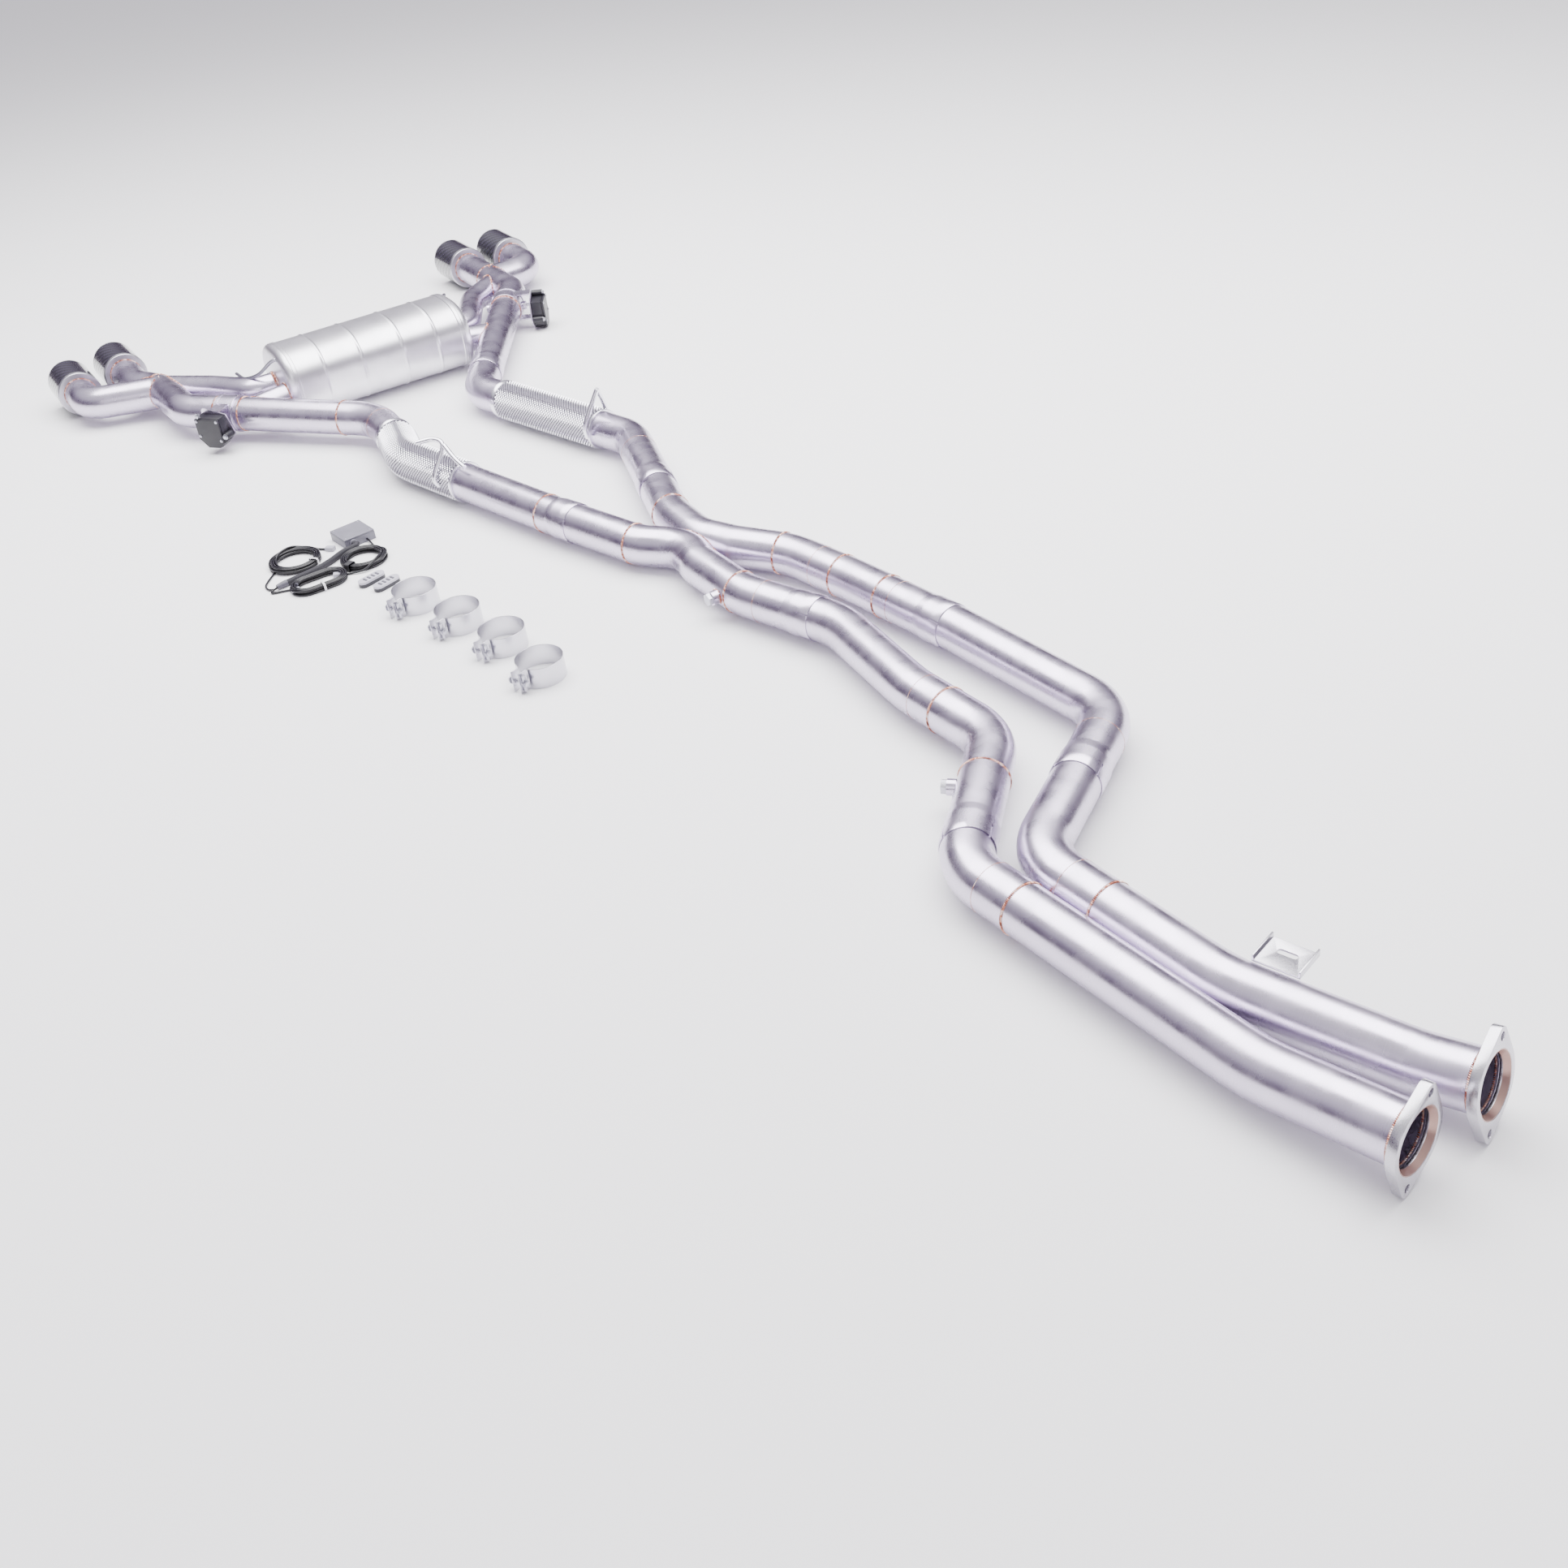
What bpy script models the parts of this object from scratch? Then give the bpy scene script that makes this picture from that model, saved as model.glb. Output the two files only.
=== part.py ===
"""Racing exhaust system: twin pipes with an X-pipe, two valves, one muffler and four tips.

Metres, +X towards the inlet flanges, +Y to the vehicle's left, +Z up. The system lies on
z = 0, with the origin under the middle of its outline. Routes are given from the point
beside the X-pipe where the layout was drawn, and PLAN_CENTRE moves them to the origin.
"""
import math

import bmesh
import bpy
from mathutils import Matrix, Vector

# Fits
GAP = 0.0003                # between pieces that touch
RUNNING = 0.00005           # radial, shaft in its bore
BEYOND = 0.01               # how far a cutter runs past what it cuts
PLAN_CENTRE = (-0.0920, -0.0645)

# Pipes
PIPE_R = 0.038
PIPE_WALL = 0.0016
PIPE_SIDES = 12
BEND_STEP = math.radians(20)
SLIP_OVERLAP = 0.045        # how far a pipe slides into the next one's sleeve
SLIP_TAPER = 0.012
MUFFLER_PIPE_R = 0.030

# Inlet flanges
FLANGE_THICK = 0.012
FLANGE_RING_R = 0.049
FLANGE_EAR_R = 0.0115
FLANGE_REACH = 0.0555       # from the bore to each bolt hole
FLANGE_HOLE_R = 0.0053
FLANGE_LEAN = math.radians(24)
SEAT_R = 0.0415             # mouth of the conical seat
SEAT_DEPTH = 0.008

# Valves
VALVE_LENGTH = 0.050
VALVE_BODY_R = 0.0415
VALVE_WALL = VALVE_BODY_R - (PIPE_R - PIPE_WALL)
VALVE_PLATE_R = 0.0345
VALVE_PLATE_THICK = 0.002
SHAFT_R = 0.004
BOSS_R = 0.010
BOSS_REACH = 0.050          # from the pipe's axis to the face of each boss
BLIND_END = 0.004           # metal left past the shaft on its inner side
SHAFT_SIDES = 16
SHAFT_BORE_R = (SHAFT_R + RUNNING) / math.cos(math.pi / SHAFT_SIDES)
SHAFT_ENTRY = 0.014         # how far the shaft reaches into the actuator

# Actuators
CASE_LENGTH = 0.062         # along the pipe
CASE_HEIGHT = 0.068
CASE_DEPTH = 0.026          # along the valve shaft
CASE_WALL = 0.0025
CASE_START = 0.062          # from the pipe's axis
CASE_CHAMFER = 0.016
COVER_THICK = 0.006
BRACKET_THICK = 0.003
ACTUATOR_BOLT_R = 0.003
ENTRY_ROOM = 0.002          # around the shaft where it enters the case
LUG_R = 0.008
CASE_DROP = {"right": 0.008, "left": 0.020}     # case centre below the shaft
ARM_WIDTH = 0.030
ARM_DROP = 0.010            # arms' height below the valve body's crown

# Tips
TIP_R = 0.052
TIP_LENGTH = 0.122
SLEEVE_THICK = 0.0016
TIP_WALL = 0.0015
TIP_CAP = 0.010             # length of the closed shoulder at the inlet end
TIP_BORE_R = 0.0455
TIP_RIM = 0.006
TIP_EDGE = 0.003            # rounding of the tip's two ends
TIP_INSET = 0.018           # how far each tail pipe reaches into its tip

# Muffler
MUFFLER_CENTRE = (-1.350, -0.057, 0.0855)
MUFFLER_HALF_LENGTH = 0.227
MUFFLER_HALF_WIDTH = 0.105
MUFFLER_HALF_HEIGHT = 0.081
MUFFLER_WALL = 0.0016
MUFFLER_CAP_DEPTH = 0.018
CORE_R = 0.026
CORE_WALL = 0.0012
BAFFLE_THICK = 0.0015
BAFFLE_OFFSET = 0.085
CORE_PAST_BAFFLE = 0.015
CORE_X = (-1.303, -1.385)
CORE_HOLES = 3
CORE_HOLE_R = 0.004
CORE_HOLE_PITCH = 0.045
PACKING_GAP = 0.001

# Wraps, bungs and hangers
WRAP_THICK = 0.0045
BUNG_R = 0.0125
BUNG_LENGTH = 0.012
BUNG_BORE_R = 0.008
PLUG_R = 0.0115
PLUG_LENGTH = 0.008
PLUG_STEM = 0.010
HANGER_R = 0.005
PLATE_SIZE = 0.062          # front bracket, along the pipe
PLATE_THICK = 0.003
PLATE_HEIGHT = 0.030        # above the pipe's axis
PLATE_REACH = 0.075         # from the pipe's axis to the plate's free edge
LIP_HEIGHT = 0.010
LIP_DRAFT = 0.0006          # how far each lip's inner face leans out, to its top
SLOT_R = 0.0045
SLOT_HALF = 0.009
SLOT_INSET = 0.020          # from the bracket's free edge

# Band clamps
CLAMP_R = 0.0402            # inside the band
CLAMP_THICK = 0.0015
CLAMP_HEIGHT = 0.038
CLAMP_MOUTH = 0.016
CLAMP_LUG = 0.020
CLAMP_BOLT_R = 0.0035

# Valve controller, loom and remotes
BOX_SIZE = (0.066, 0.066, 0.020)
BOX_WALL = 0.002
LID_THICK = 0.003
CONDUIT_R = 0.006
CONDUIT_WALL = 0.001
CONDUIT_EXIT = (-0.016, 0.0090)     # across the box's front and above the floor
COIL_LEFT = (0.042, 0.022, 0.016)   # middle of the turns, width, height
COIL_RIGHT = (0.038, 0.020, 0.018)
HANK_SIZE = (0.116, 0.072)
HANK_WIDTH = 0.022                  # of its winding
HANK_HEIGHT = 0.016
REMOTE_SIZE = (0.058, 0.022, 0.011)
REMOTE_WALL = 0.002
BUTTON_SIZE = (0.0042, 0.012)       # along and across the remote
BUTTON_HEIGHT = 0.0042
BUTTON_RISE = 0.0010
BUTTON_TRAVEL = 0.0008
BUTTON_PITCH = 0.0095
BUTTONS = 4

# Centre lines: corner x, y, z and bend radius, from the flange or the X-pipe rearward
FRONT_RIGHT = [(1.772, -0.059, 0.0631, 0), (1.584, -0.100, 0.046, 0.30), (1.080, -0.133, 0.044, 0.110),
               (0.868, 0.086, 0.044, 0.115), (0.677, 0.075, 0.044, 0.30), (0.431, 0.102, 0.044, 0.20),
               (0.225, 0.038, 0.042, 0.20), (0.076, 0.035, 0.042, 0)]
FRONT_LEFT = [(1.768, 0.064, 0.0636, 0), (1.684, 0.039, 0.048, 0.20), (1.461, -0.030, 0.044, 0.30),
              (1.125, -0.048, 0.044, 0.105), (0.932, 0.258, 0.044, 0.105), (0.577, 0.237, 0.044, 0.40),
              (0.313, 0.207, 0.042, 0.30), (0.157, 0.181, 0.042, 0.20), (0.058, 0.122, 0.042, 0)]
REAR_RIGHT = [(0.076, 0.035, 0.042, 0), (0.000, 0.050, 0.042, 0.09), (-0.074, -0.009, 0.042, 0.12),
              (-0.313, -0.078, 0.044, 0.40), (-0.788, -0.195, 0.046, 0.16), (-0.895, -0.172, 0.049, 0.12),
              (-1.030, -0.168, 0.054, 0.13), (-1.415, -0.492, 0.061, 0.09), (-1.620, -0.499, 0.057, 0.15),
              (-1.700, -0.537, 0.055, 0.15), (-1.822, -0.538, 0.055, 0)]
REAR_LEFT = [(0.058, 0.122, 0.042, 0), (-0.020, 0.090, 0.042, 0.12), (-0.143, 0.097, 0.042, 0.25),
             (-0.517, 0.209, 0.045, 0.11), (-1.018, 0.077, 0.046, 0.10), (-1.548, 0.403, 0.062, 0.09),
             (-1.700, 0.409, 0.058, 0.15), (-1.866, 0.410, 0.056, 0)]
BRANCH_RIGHT = [(-1.600, -0.4983, 0.0574, 0), (-1.672, -0.660, 0.055, 0.062), (-1.780, -0.660, 0.055, 0)]
BRANCH_LEFT = [(-1.690, 0.4086, 0.0583, 0), (-1.710, 0.531, 0.056, 0.062), (-1.850, 0.531, 0.056, 0)]
OUTLET_RIGHT = [(-1.378, -0.280, 0.072, 0), (-1.383, -0.335, 0.070, 0.050), (-1.500, -0.400, 0.064, 0.15),
                (-1.650, -0.511, 0.0562, 0)]
OUTLET_LEFT = [(-1.392, 0.166, 0.072, 0), (-1.400, 0.220, 0.071, 0.050), (-1.560, 0.296, 0.064, 0.15),
               (-1.660, 0.4074, 0.0591, 0)]
INLET_X = {"right": -1.290, "left": -1.304}
INLET_INSIDE = 0.012        # reach of an inlet pipe past the cap

# Loose pieces: plan positions on the floor
CLAMP_CENTRES = [(-0.239, -0.399), (-0.110, -0.367), (0.019, -0.337), (0.158, -0.329)]
CLAMP_HEADING = math.radians(-68)
BOX_CENTRE = (-0.598, -0.394)
BOX_TURN = math.radians(7)
REMOTES = [((-0.3925, -0.432), math.radians(107)), ((-0.355, -0.4155), math.radians(108))]
CONDUIT = [(-0.541, -0.437, 0.0078), (-0.526, -0.466, 0.0066), (-0.512, -0.498, 0.0065),
           (-0.506, -0.530, 0.0065), (-0.499, -0.566, 0.0065)]
COIL_LEFT_CENTRE = (-0.580, -0.522)
COIL_RIGHT_CENTRE = (-0.490, -0.412)
HANK_CENTRE = (-0.458, -0.515)
HANK_TURN = math.radians(90)
HANGER_AT = {"right": 0.729, "left": 0.703}
HANGERS = {"right": [[(0.012, -0.0405, 0.000), (0.012, -0.046, 0.022), (0.006, -0.012, 0.075),
                      (-0.020, -0.020, 0.085), (-0.030, -0.055, 0.085)],
                     [(0.010, -0.010, 0.078), (0.045, -0.006, 0.060), (0.075, 0.000, 0.048)]],
           "left": [[(0.030, -0.0405, 0.000), (0.030, -0.040, 0.030), (0.030, 0.000, 0.095)],
                    [(0.030, 0.000, 0.095), (0.000, 0.020, 0.060), (-0.020, 0.036, 0.018)]]}
BRACKET_AT = 0.272
BUNG_AT = (0.872, 1.671)

# Distances along the routes, from each route's start
SLIP_FRONT = {"right": 0.731, "left": 0.825}
SLIP_MID = {"right": 1.469, "left": 1.364}
SLIP_REAR = {"right": 0.337, "left": 0.323}
SLIP_TAIL_LEFT = 1.198
WRAP = {"right": (0.687, 1.029), "left": (0.685, 1.020)}
VALVE_AT = {"right": 1.521, "left": 1.628}
SLIP_END_GAP = 0.002        # short of the sleeve's taper


def finish(name, colour, metallic, roughness):
    """Plain Principled material."""
    material = bpy.data.materials.new(name)
    material.use_nodes = True
    shader = material.node_tree.nodes["Principled BSDF"]
    shader.inputs["Base Color"].default_value = (*colour, 1)
    shader.inputs["Metallic"].default_value = metallic
    shader.inputs["Roughness"].default_value = roughness
    material.diffuse_color = (*colour, 1)
    return material


def at(x, y, z):
    """Layout position as a world position."""
    return Vector((x - PLAN_CENTRE[0], y - PLAN_CENTRE[1], z))


def add_mesh(name, vertices, faces, material, smooth=40):
    """Object from vertices and faces, with its normals made to point out."""
    mesh = bpy.data.meshes.new(name)
    mesh.from_pydata([tuple(v) for v in vertices], [], faces)
    bm = bmesh.new()
    bm.from_mesh(mesh)
    bmesh.ops.recalc_face_normals(bm, faces=bm.faces)
    bm.to_mesh(mesh)
    bm.free()
    mesh.materials.append(material)
    mesh.shade_smooth()
    mesh.set_sharp_from_angle(angle=math.radians(smooth))
    obj = bpy.data.objects.new(name, mesh)
    bpy.context.scene.collection.objects.link(obj)
    return obj


def boolean(target, other, operation):
    """Union or difference with another solid, which is used up."""
    modifier = target.modifiers.new(operation.lower(), "BOOLEAN")
    modifier.operation = operation
    modifier.object = other
    bpy.context.view_layer.update()
    evaluated = target.evaluated_get(bpy.context.evaluated_depsgraph_get())
    mesh = bpy.data.meshes.new_from_object(evaluated)
    target.modifiers.clear()
    target.data = mesh
    bpy.data.objects.remove(other)
    bpy.context.view_layer.update()
    return target


def rounded(corners):
    """Centre line through corners (x, y, z, bend radius), each bend drawn as an arc."""
    points = [at(*corner[:3]) for corner in corners]
    line = [points[0]]
    for before, corner, after, spec in zip(points, points[1:], points[2:], corners[1:]):
        into = (corner - before).normalized()
        out = (after - corner).normalized()
        angle = into.angle(out)
        if angle < 0.01:
            line.append(corner)
            continue
        room = spec[3] * math.tan(angle / 2)
        steps = max(2, math.ceil(angle / BEND_STEP))
        middle = (out - into).normalized()
        centre = corner + middle * (spec[3] / math.cos(angle / 2))
        start = corner - into * room - centre
        axis = into.cross(out).normalized()
        for step in range(steps + 1):
            line.append(centre + Matrix.Rotation(angle * step / steps, 3, axis) @ start)
    line.append(points[-1])
    return line


def length_of(line):
    return sum((b - a).length for a, b in zip(line, line[1:]))


def point_at(line, distance):
    """Point and direction at a distance along a line, which runs on straight past its ends."""
    left = distance
    for a, b in zip(line, line[1:]):
        span = (b - a).length
        if left <= span or b is line[-1]:
            direction = (b - a).normalized()
            return a + direction * left, direction
        left -= span


def stretch(line, start, end, extra=()):
    """Part of a line between two distances, with extra points at the distances given."""
    distances = [0.0]
    for a, b in zip(line, line[1:]):
        distances.append(distances[-1] + (b - a).length)
    keep = {start, end, *(e for e in extra if start < e < end)}
    keep |= {d for d in distances if start + 0.002 < d < end - 0.002}
    chosen = []
    for d in sorted(keep):
        if not chosen or d - chosen[-1] > 0.0004:
            chosen.append(d)
    return [(d - start, point_at(line, d)[0]) for d in chosen]


def hoops(points, radii, sides):
    """Rings of vertices around a line: level with the floor, or turned little if it climbs."""
    befores = [points[0]] + points[:-1]
    afters = points[1:] + [points[-1]]
    directions = [(after - before).normalized() for before, after in zip(befores, afters)]
    climbs = any(abs(direction.z) > 0.8 for direction in directions)
    side = directions[0].orthogonal()
    rings = []
    for point, direction, radius in zip(points, directions, radii):
        side = side - direction * side.dot(direction) if climbs else direction.cross(Vector((0, 0, 1)))
        side.normalize()
        up = side.cross(direction)
        ring = []
        for k in range(sides):
            turn = 2 * math.pi * (k + 0.5) / sides
            ring.append(point + (side * math.cos(turn) + up * math.sin(turn)) * radius)
        rings.append(ring)
    return rings


def skin(rings, faces, first):
    """Faces between rings whose vertices start at first."""
    sides = len(rings[0])
    for i in range(len(rings) - 1):
        for k in range(sides):
            a = first + i * sides + k
            b = first + i * sides + (k + 1) % sides
            faces.append((a, b, b + sides, a + sides))


def rod(name, points, radius, material, sides=PIPE_SIDES):
    """Solid round bar along points; radius is one value or one for each point."""
    radii = radius if isinstance(radius, list) else [radius] * len(points)
    rings = hoops(points, radii, sides)
    faces = []
    skin(rings, faces, 0)
    last = (len(rings) - 1) * sides
    faces.append(tuple(range(sides)))
    faces.append(tuple(last + k for k in range(sides)))
    return add_mesh(name, [v for ring in rings for v in ring], faces, material)


def tube(name, line, start, end, profile, material, sides=PIPE_SIDES):
    """Open pipe along a line; profile holds (distance from start, outer radius, inner radius)."""
    spots = stretch(line, start, end, [start + p[0] for p in profile])
    points = [spot[1] for spot in spots]
    outer = [blend(profile, spot[0], 1) for spot in spots]
    inner = [blend(profile, spot[0], 2) for spot in spots]
    outside = hoops(points, outer, sides)
    inside = hoops(points, inner, sides)
    faces = []
    skin(outside, faces, 0)
    offset = len(outside) * sides
    skin(inside, faces, offset)
    for ring in (0, len(outside) - 1):
        for k in range(sides):
            a = ring * sides + k
            b = ring * sides + (k + 1) % sides
            faces.append((a, b, b + offset, a + offset))
    return add_mesh(name, [v for ring in outside + inside for v in ring], faces, material)


def blend(profile, distance, column):
    """Value of a profile's column at a distance."""
    for low, high in zip(profile, profile[1:]):
        if distance <= high[0] + 1e-6:
            share = (distance - low[0]) / (high[0] - low[0])
            return low[column] + (high[column] - low[column]) * min(max(share, 0), 1)
    return profile[-1][column]


def plain_pipe(length, radius=PIPE_R):
    return [(0, radius, radius - PIPE_WALL), (length, radius, radius - PIPE_WALL)]


def sleeved_pipe(length):
    """Pipe whose front end is swelled to take the pipe ahead of it."""
    wide = PIPE_R + GAP
    return [(0, wide + PIPE_WALL, wide), (SLIP_OVERLAP, wide + PIPE_WALL, wide),
            (SLIP_OVERLAP + SLIP_TAPER, PIPE_R, PIPE_R - PIPE_WALL), (length, PIPE_R, PIPE_R - PIPE_WALL)]


def pipe_run(name, line, start, end, material, sleeve=False):
    """Pipe between two distances along a line, half a gap short of each."""
    profile = sleeved_pipe(end - start) if sleeve else plain_pipe(end - start)
    return tube(name, line, start + GAP / 2, end - GAP / 2, profile, material)


def bar_between(name, start, end, radius, material, sides=PIPE_SIDES):
    return rod(name, [start, end], radius, material, sides)


def slab(name, outline, z_low, z_high, material, placing=None, smooth=40):
    """Outline in x and y, given an even thickness and put in place."""
    placing = placing or Matrix()
    count = len(outline)
    vertices = [placing @ Vector((x, y, z)) for z in (z_low, z_high) for x, y in outline]
    faces = [tuple(range(count)), tuple(range(count, 2 * count))]
    for k in range(count):
        m = (k + 1) % count
        faces.append((k, m, m + count, k + count))
    return add_mesh(name, vertices, faces, material, smooth)


def box(name, low, high, material, placing=None):
    outline = [(low[0], low[1]), (high[0], low[1]), (high[0], high[1]), (low[0], high[1])]
    return slab(name, outline, low[2], high[2], material, placing)


def circle(radius, steps, centre=(0, 0), start=0.0, turn=2 * math.pi):
    closed = abs(turn - 2 * math.pi) < 1e-6
    count = steps if closed else steps + 1
    return [(centre[0] + radius * math.cos(start + turn * k / steps),
             centre[1] + radius * math.sin(start + turn * k / steps)) for k in range(count)]


def hull(points):
    """Convex outline around points."""
    points = sorted(set((round(x, 7), round(y, 7)) for x, y in points))

    def half(ordered):
        chain = []
        for p in ordered:
            while len(chain) > 1:
                (ax, ay), (bx, by) = chain[-2:]
                if (bx - ax) * (p[1] - ay) - (by - ay) * (p[0] - ax) > 0:
                    break
                chain.pop()
            chain.append(p)
        return chain[:-1]

    return half(points) + half(points[::-1])


def placing(origin, x_axis, z_axis):
    """Matrix whose local X and Z lie along the axes given."""
    x = x_axis.normalized()
    z = (z_axis - x * z_axis.dot(x)).normalized()
    y = z.cross(x)
    return Matrix.Translation(origin) @ Matrix((x, y, z)).transposed().to_4x4()


# ---- Pipes -----------------------------------------------------------------

def inlet_flange(side, line, material):
    """Two-bolt plate with a conical seat, leaning about the pipe's axis."""
    front, direction = point_at(line, 0)
    up = direction.cross(Vector((0, 0, 1))).cross(direction)
    frame = placing(front, up, -direction) @ Matrix.Rotation(-FLANGE_LEAN, 4, "Z")
    ears = [circle(FLANGE_EAR_R, 16, (sign * FLANGE_REACH, 0)) for sign in (-1, 1)]
    outline = hull(circle(FLANGE_RING_R, 32) + ears[0] + ears[1])
    plate = slab("inlet_flange_" + side, outline, -FLANGE_THICK, 0, material, frame, 30)
    bore_r = PIPE_R - PIPE_WALL
    tools = [rod("seat", [frame @ Vector((0, 0, z)) for z in (-FLANGE_THICK - 0.001, -SEAT_DEPTH, 0.001)],
                 [bore_r, bore_r, SEAT_R + 0.0006], material, 24)]
    for sign in (-1, 1):
        ends = [frame @ Vector((sign * FLANGE_REACH, 0, z)) for z in (-FLANGE_THICK - 0.001, 0.001)]
        tools.append(rod("hole", ends, FLANGE_HOLE_R, material, 16))
    for tool in tools:
        boolean(plate, tool, "DIFFERENCE")
    return plate


def manifold(name, runs, material, bosses=(), drills=()):
    """Pipes and bosses welded into one piece and opened right through.

    Each run holds its line, first and last distance, profile, and whether each end is open.
    """
    body = None
    bores = []
    for line, start, end, profile, open_start, open_end in runs:
        spots = stretch(line, start, end, [start + row[0] for row in profile])
        points = [spot[1] for spot in spots]
        piece = rod(name, points, [blend(profile, spot[0], 1) for spot in spots], material)
        body = boolean(body, piece, "UNION") if body else piece
        inner = [blend(profile, spot[0], 2) for spot in spots]
        if open_start:
            share = BEYOND / (points[1] - points[0]).length
            points = [points[0].lerp(points[1], -share)] + points
            inner = inner[:1] + inner
        if open_end:
            points.append(points[-1].lerp(points[-2], -BEYOND / (points[-2] - points[-1]).length))
            inner.append(inner[-1])
        bores.append((points, inner))
    for boss in bosses:
        boolean(body, boss, "UNION")
    for points, inner in bores:
        boolean(body, rod("bore", points, inner, material), "DIFFERENCE")
    for drill in drills:
        boolean(body, drill, "DIFFERENCE")
    return body


def x_pipe(fronts, rears, bung, material):
    """Two bent pipes that run into each other, with a sleeve on each front end."""
    runs = []
    for side in ("right", "left"):
        front = fronts[side]
        tail = [spot[1] for spot in stretch(front, SLIP_MID[side], length_of(front))]
        line = tail[:-1] + rears[side]
        end = length_of(tail) + SLIP_REAR[side] + SLIP_OVERLAP - SLIP_END_GAP
        runs.append((line, GAP / 2, end, sleeved_pipe(end), True, True))
    return manifold("x_pipe", runs, material, [bung[0]], [bung[1]])


def y_pipe(side, line, branch, outlet, start, material):
    """Collector behind a valve: main pipe, branch to the outer tip and muffler outlet."""
    total = length_of(line)
    runs = [(line, start + GAP / 2, total, plain_pipe(total), True, True),
            (branch, 0, length_of(branch), plain_pipe(total), False, True),
            (outlet, 0, length_of(outlet), plain_pipe(total, MUFFLER_PIPE_R), True, False)]
    return manifold("y_pipe_" + side, runs, material)


def turned(name, frame, profile, material, steps=24):
    """Closed outline of (distance along Z, radius) points, turned about the frame's Z."""
    count = len(profile)
    vertices = []
    for k in range(steps):
        turn = 2 * math.pi * k / steps
        for z, r in profile:
            vertices.append(frame @ Vector((r * math.cos(turn), r * math.sin(turn), z)))
    faces = []
    for k in range(steps):
        m = (k + 1) % steps
        for i in range(count):
            j = (i + 1) % count
            faces.append((k * count + i, k * count + j, m * count + j, m * count + i))
    return add_mesh(name, vertices, faces, material, 30)


def tip(place, line, steel, carbon):
    """Steel liner and carbon sleeve of one tip, on the end of a pipe."""
    end, direction = point_at(line, length_of(line))
    frame = placing(end - direction * TIP_INSET, direction.cross(Vector((0, 0, 1))), direction)
    core = TIP_R - SLEEVE_THICK - GAP
    collar = PIPE_R + GAP
    rim = TIP_LENGTH - TIP_RIM
    liner = [(0, collar), (0, TIP_R - TIP_EDGE), (TIP_EDGE, TIP_R), (TIP_CAP, TIP_R), (TIP_CAP, core),
             (rim, core), (rim, TIP_R), (TIP_LENGTH - TIP_EDGE / 2, TIP_R),
             (TIP_LENGTH, TIP_R - TIP_EDGE / 2), (TIP_LENGTH, TIP_BORE_R + TIP_EDGE / 2),
             (TIP_LENGTH - TIP_EDGE, TIP_BORE_R), (TIP_INSET + TIP_CAP, TIP_BORE_R),
             (TIP_INSET + TIP_EDGE, collar)]
    sleeve = [(TIP_CAP + GAP, core + GAP), (TIP_CAP + GAP, TIP_R),
              (rim - GAP, TIP_R), (rim - GAP, core + GAP)]
    turned("tip_liner_" + place, frame, liner, steel)
    turned("carbon_sleeve_" + place, frame, sleeve, carbon)


# ---- Valves and actuators --------------------------------------------------

def valve_frame(line, distance, side):
    """Frame in a valve: X along the flow, Y along the shaft towards the actuator, Z up."""
    centre, direction = point_at(line, distance)
    outward = direction.cross(Vector((0, 0, 1))).normalized()
    if side == "right":
        outward = -outward
    up = direction.cross(outward)
    if up.z < 0:
        up = -up
    frame = Matrix((direction, outward, up)).transposed().to_4x4()
    return Matrix.Translation(centre) @ frame


def local_line(frame, *spots):
    return [frame @ Vector(spot) for spot in spots]


def valve(side, frame, steel):
    """Valve body with its bosses, and the butterfly plate and shaft that turn in it."""
    half = VALVE_LENGTH / 2
    ends = local_line(frame, (-half + GAP / 2, 0, 0), (half - GAP / 2, 0, 0))
    body = rod("valve_body_" + side, ends, VALVE_BODY_R, steel, 24)
    boss = local_line(frame, (0, -BOSS_REACH, 0), (0, BOSS_REACH, 0))
    boolean(body, rod("boss", boss, BOSS_R, steel, 16), "UNION")
    bore = local_line(frame, (-half - BEYOND, 0, 0), (half + BEYOND, 0, 0))
    boolean(body, rod("bore", bore, PIPE_R - PIPE_WALL, steel, 24), "DIFFERENCE")
    well = local_line(frame, (0, -BOSS_REACH + BLIND_END, 0), (0, BOSS_REACH + BEYOND, 0))
    boolean(body, rod("well", well, SHAFT_BORE_R, steel, SHAFT_SIDES), "DIFFERENCE")
    shaft_ends = [Vector((0, y, 0)) for y in (-BOSS_REACH + BLIND_END + GAP, CASE_START + SHAFT_ENTRY)]
    shaft = rod("valve_shaft_" + side, shaft_ends, SHAFT_R, steel, SHAFT_SIDES)
    low = SHAFT_R + GAP
    plate = slab("valve_plate_" + side, circle(VALVE_PLATE_R, 24), low, low + VALVE_PLATE_THICK, steel)
    turning = frame if frame.determinant() > 0 else frame @ Matrix.Scale(-1, 4, (1, 0, 0))
    for obj in (shaft, plate):
        obj.matrix_world = turning
    return body


def chamfered(length, height, chamfer):
    """Outline of an actuator's face: lower corners cut off, one more than the other."""
    x = length / 2
    z = height / 2
    return [(-x, z), (-x, -z + chamfer * 0.7), (-x + chamfer * 0.7, -z), (x - chamfer * 1.2, -z),
            (x, -z + chamfer * 1.3), (x, z)]


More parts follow.
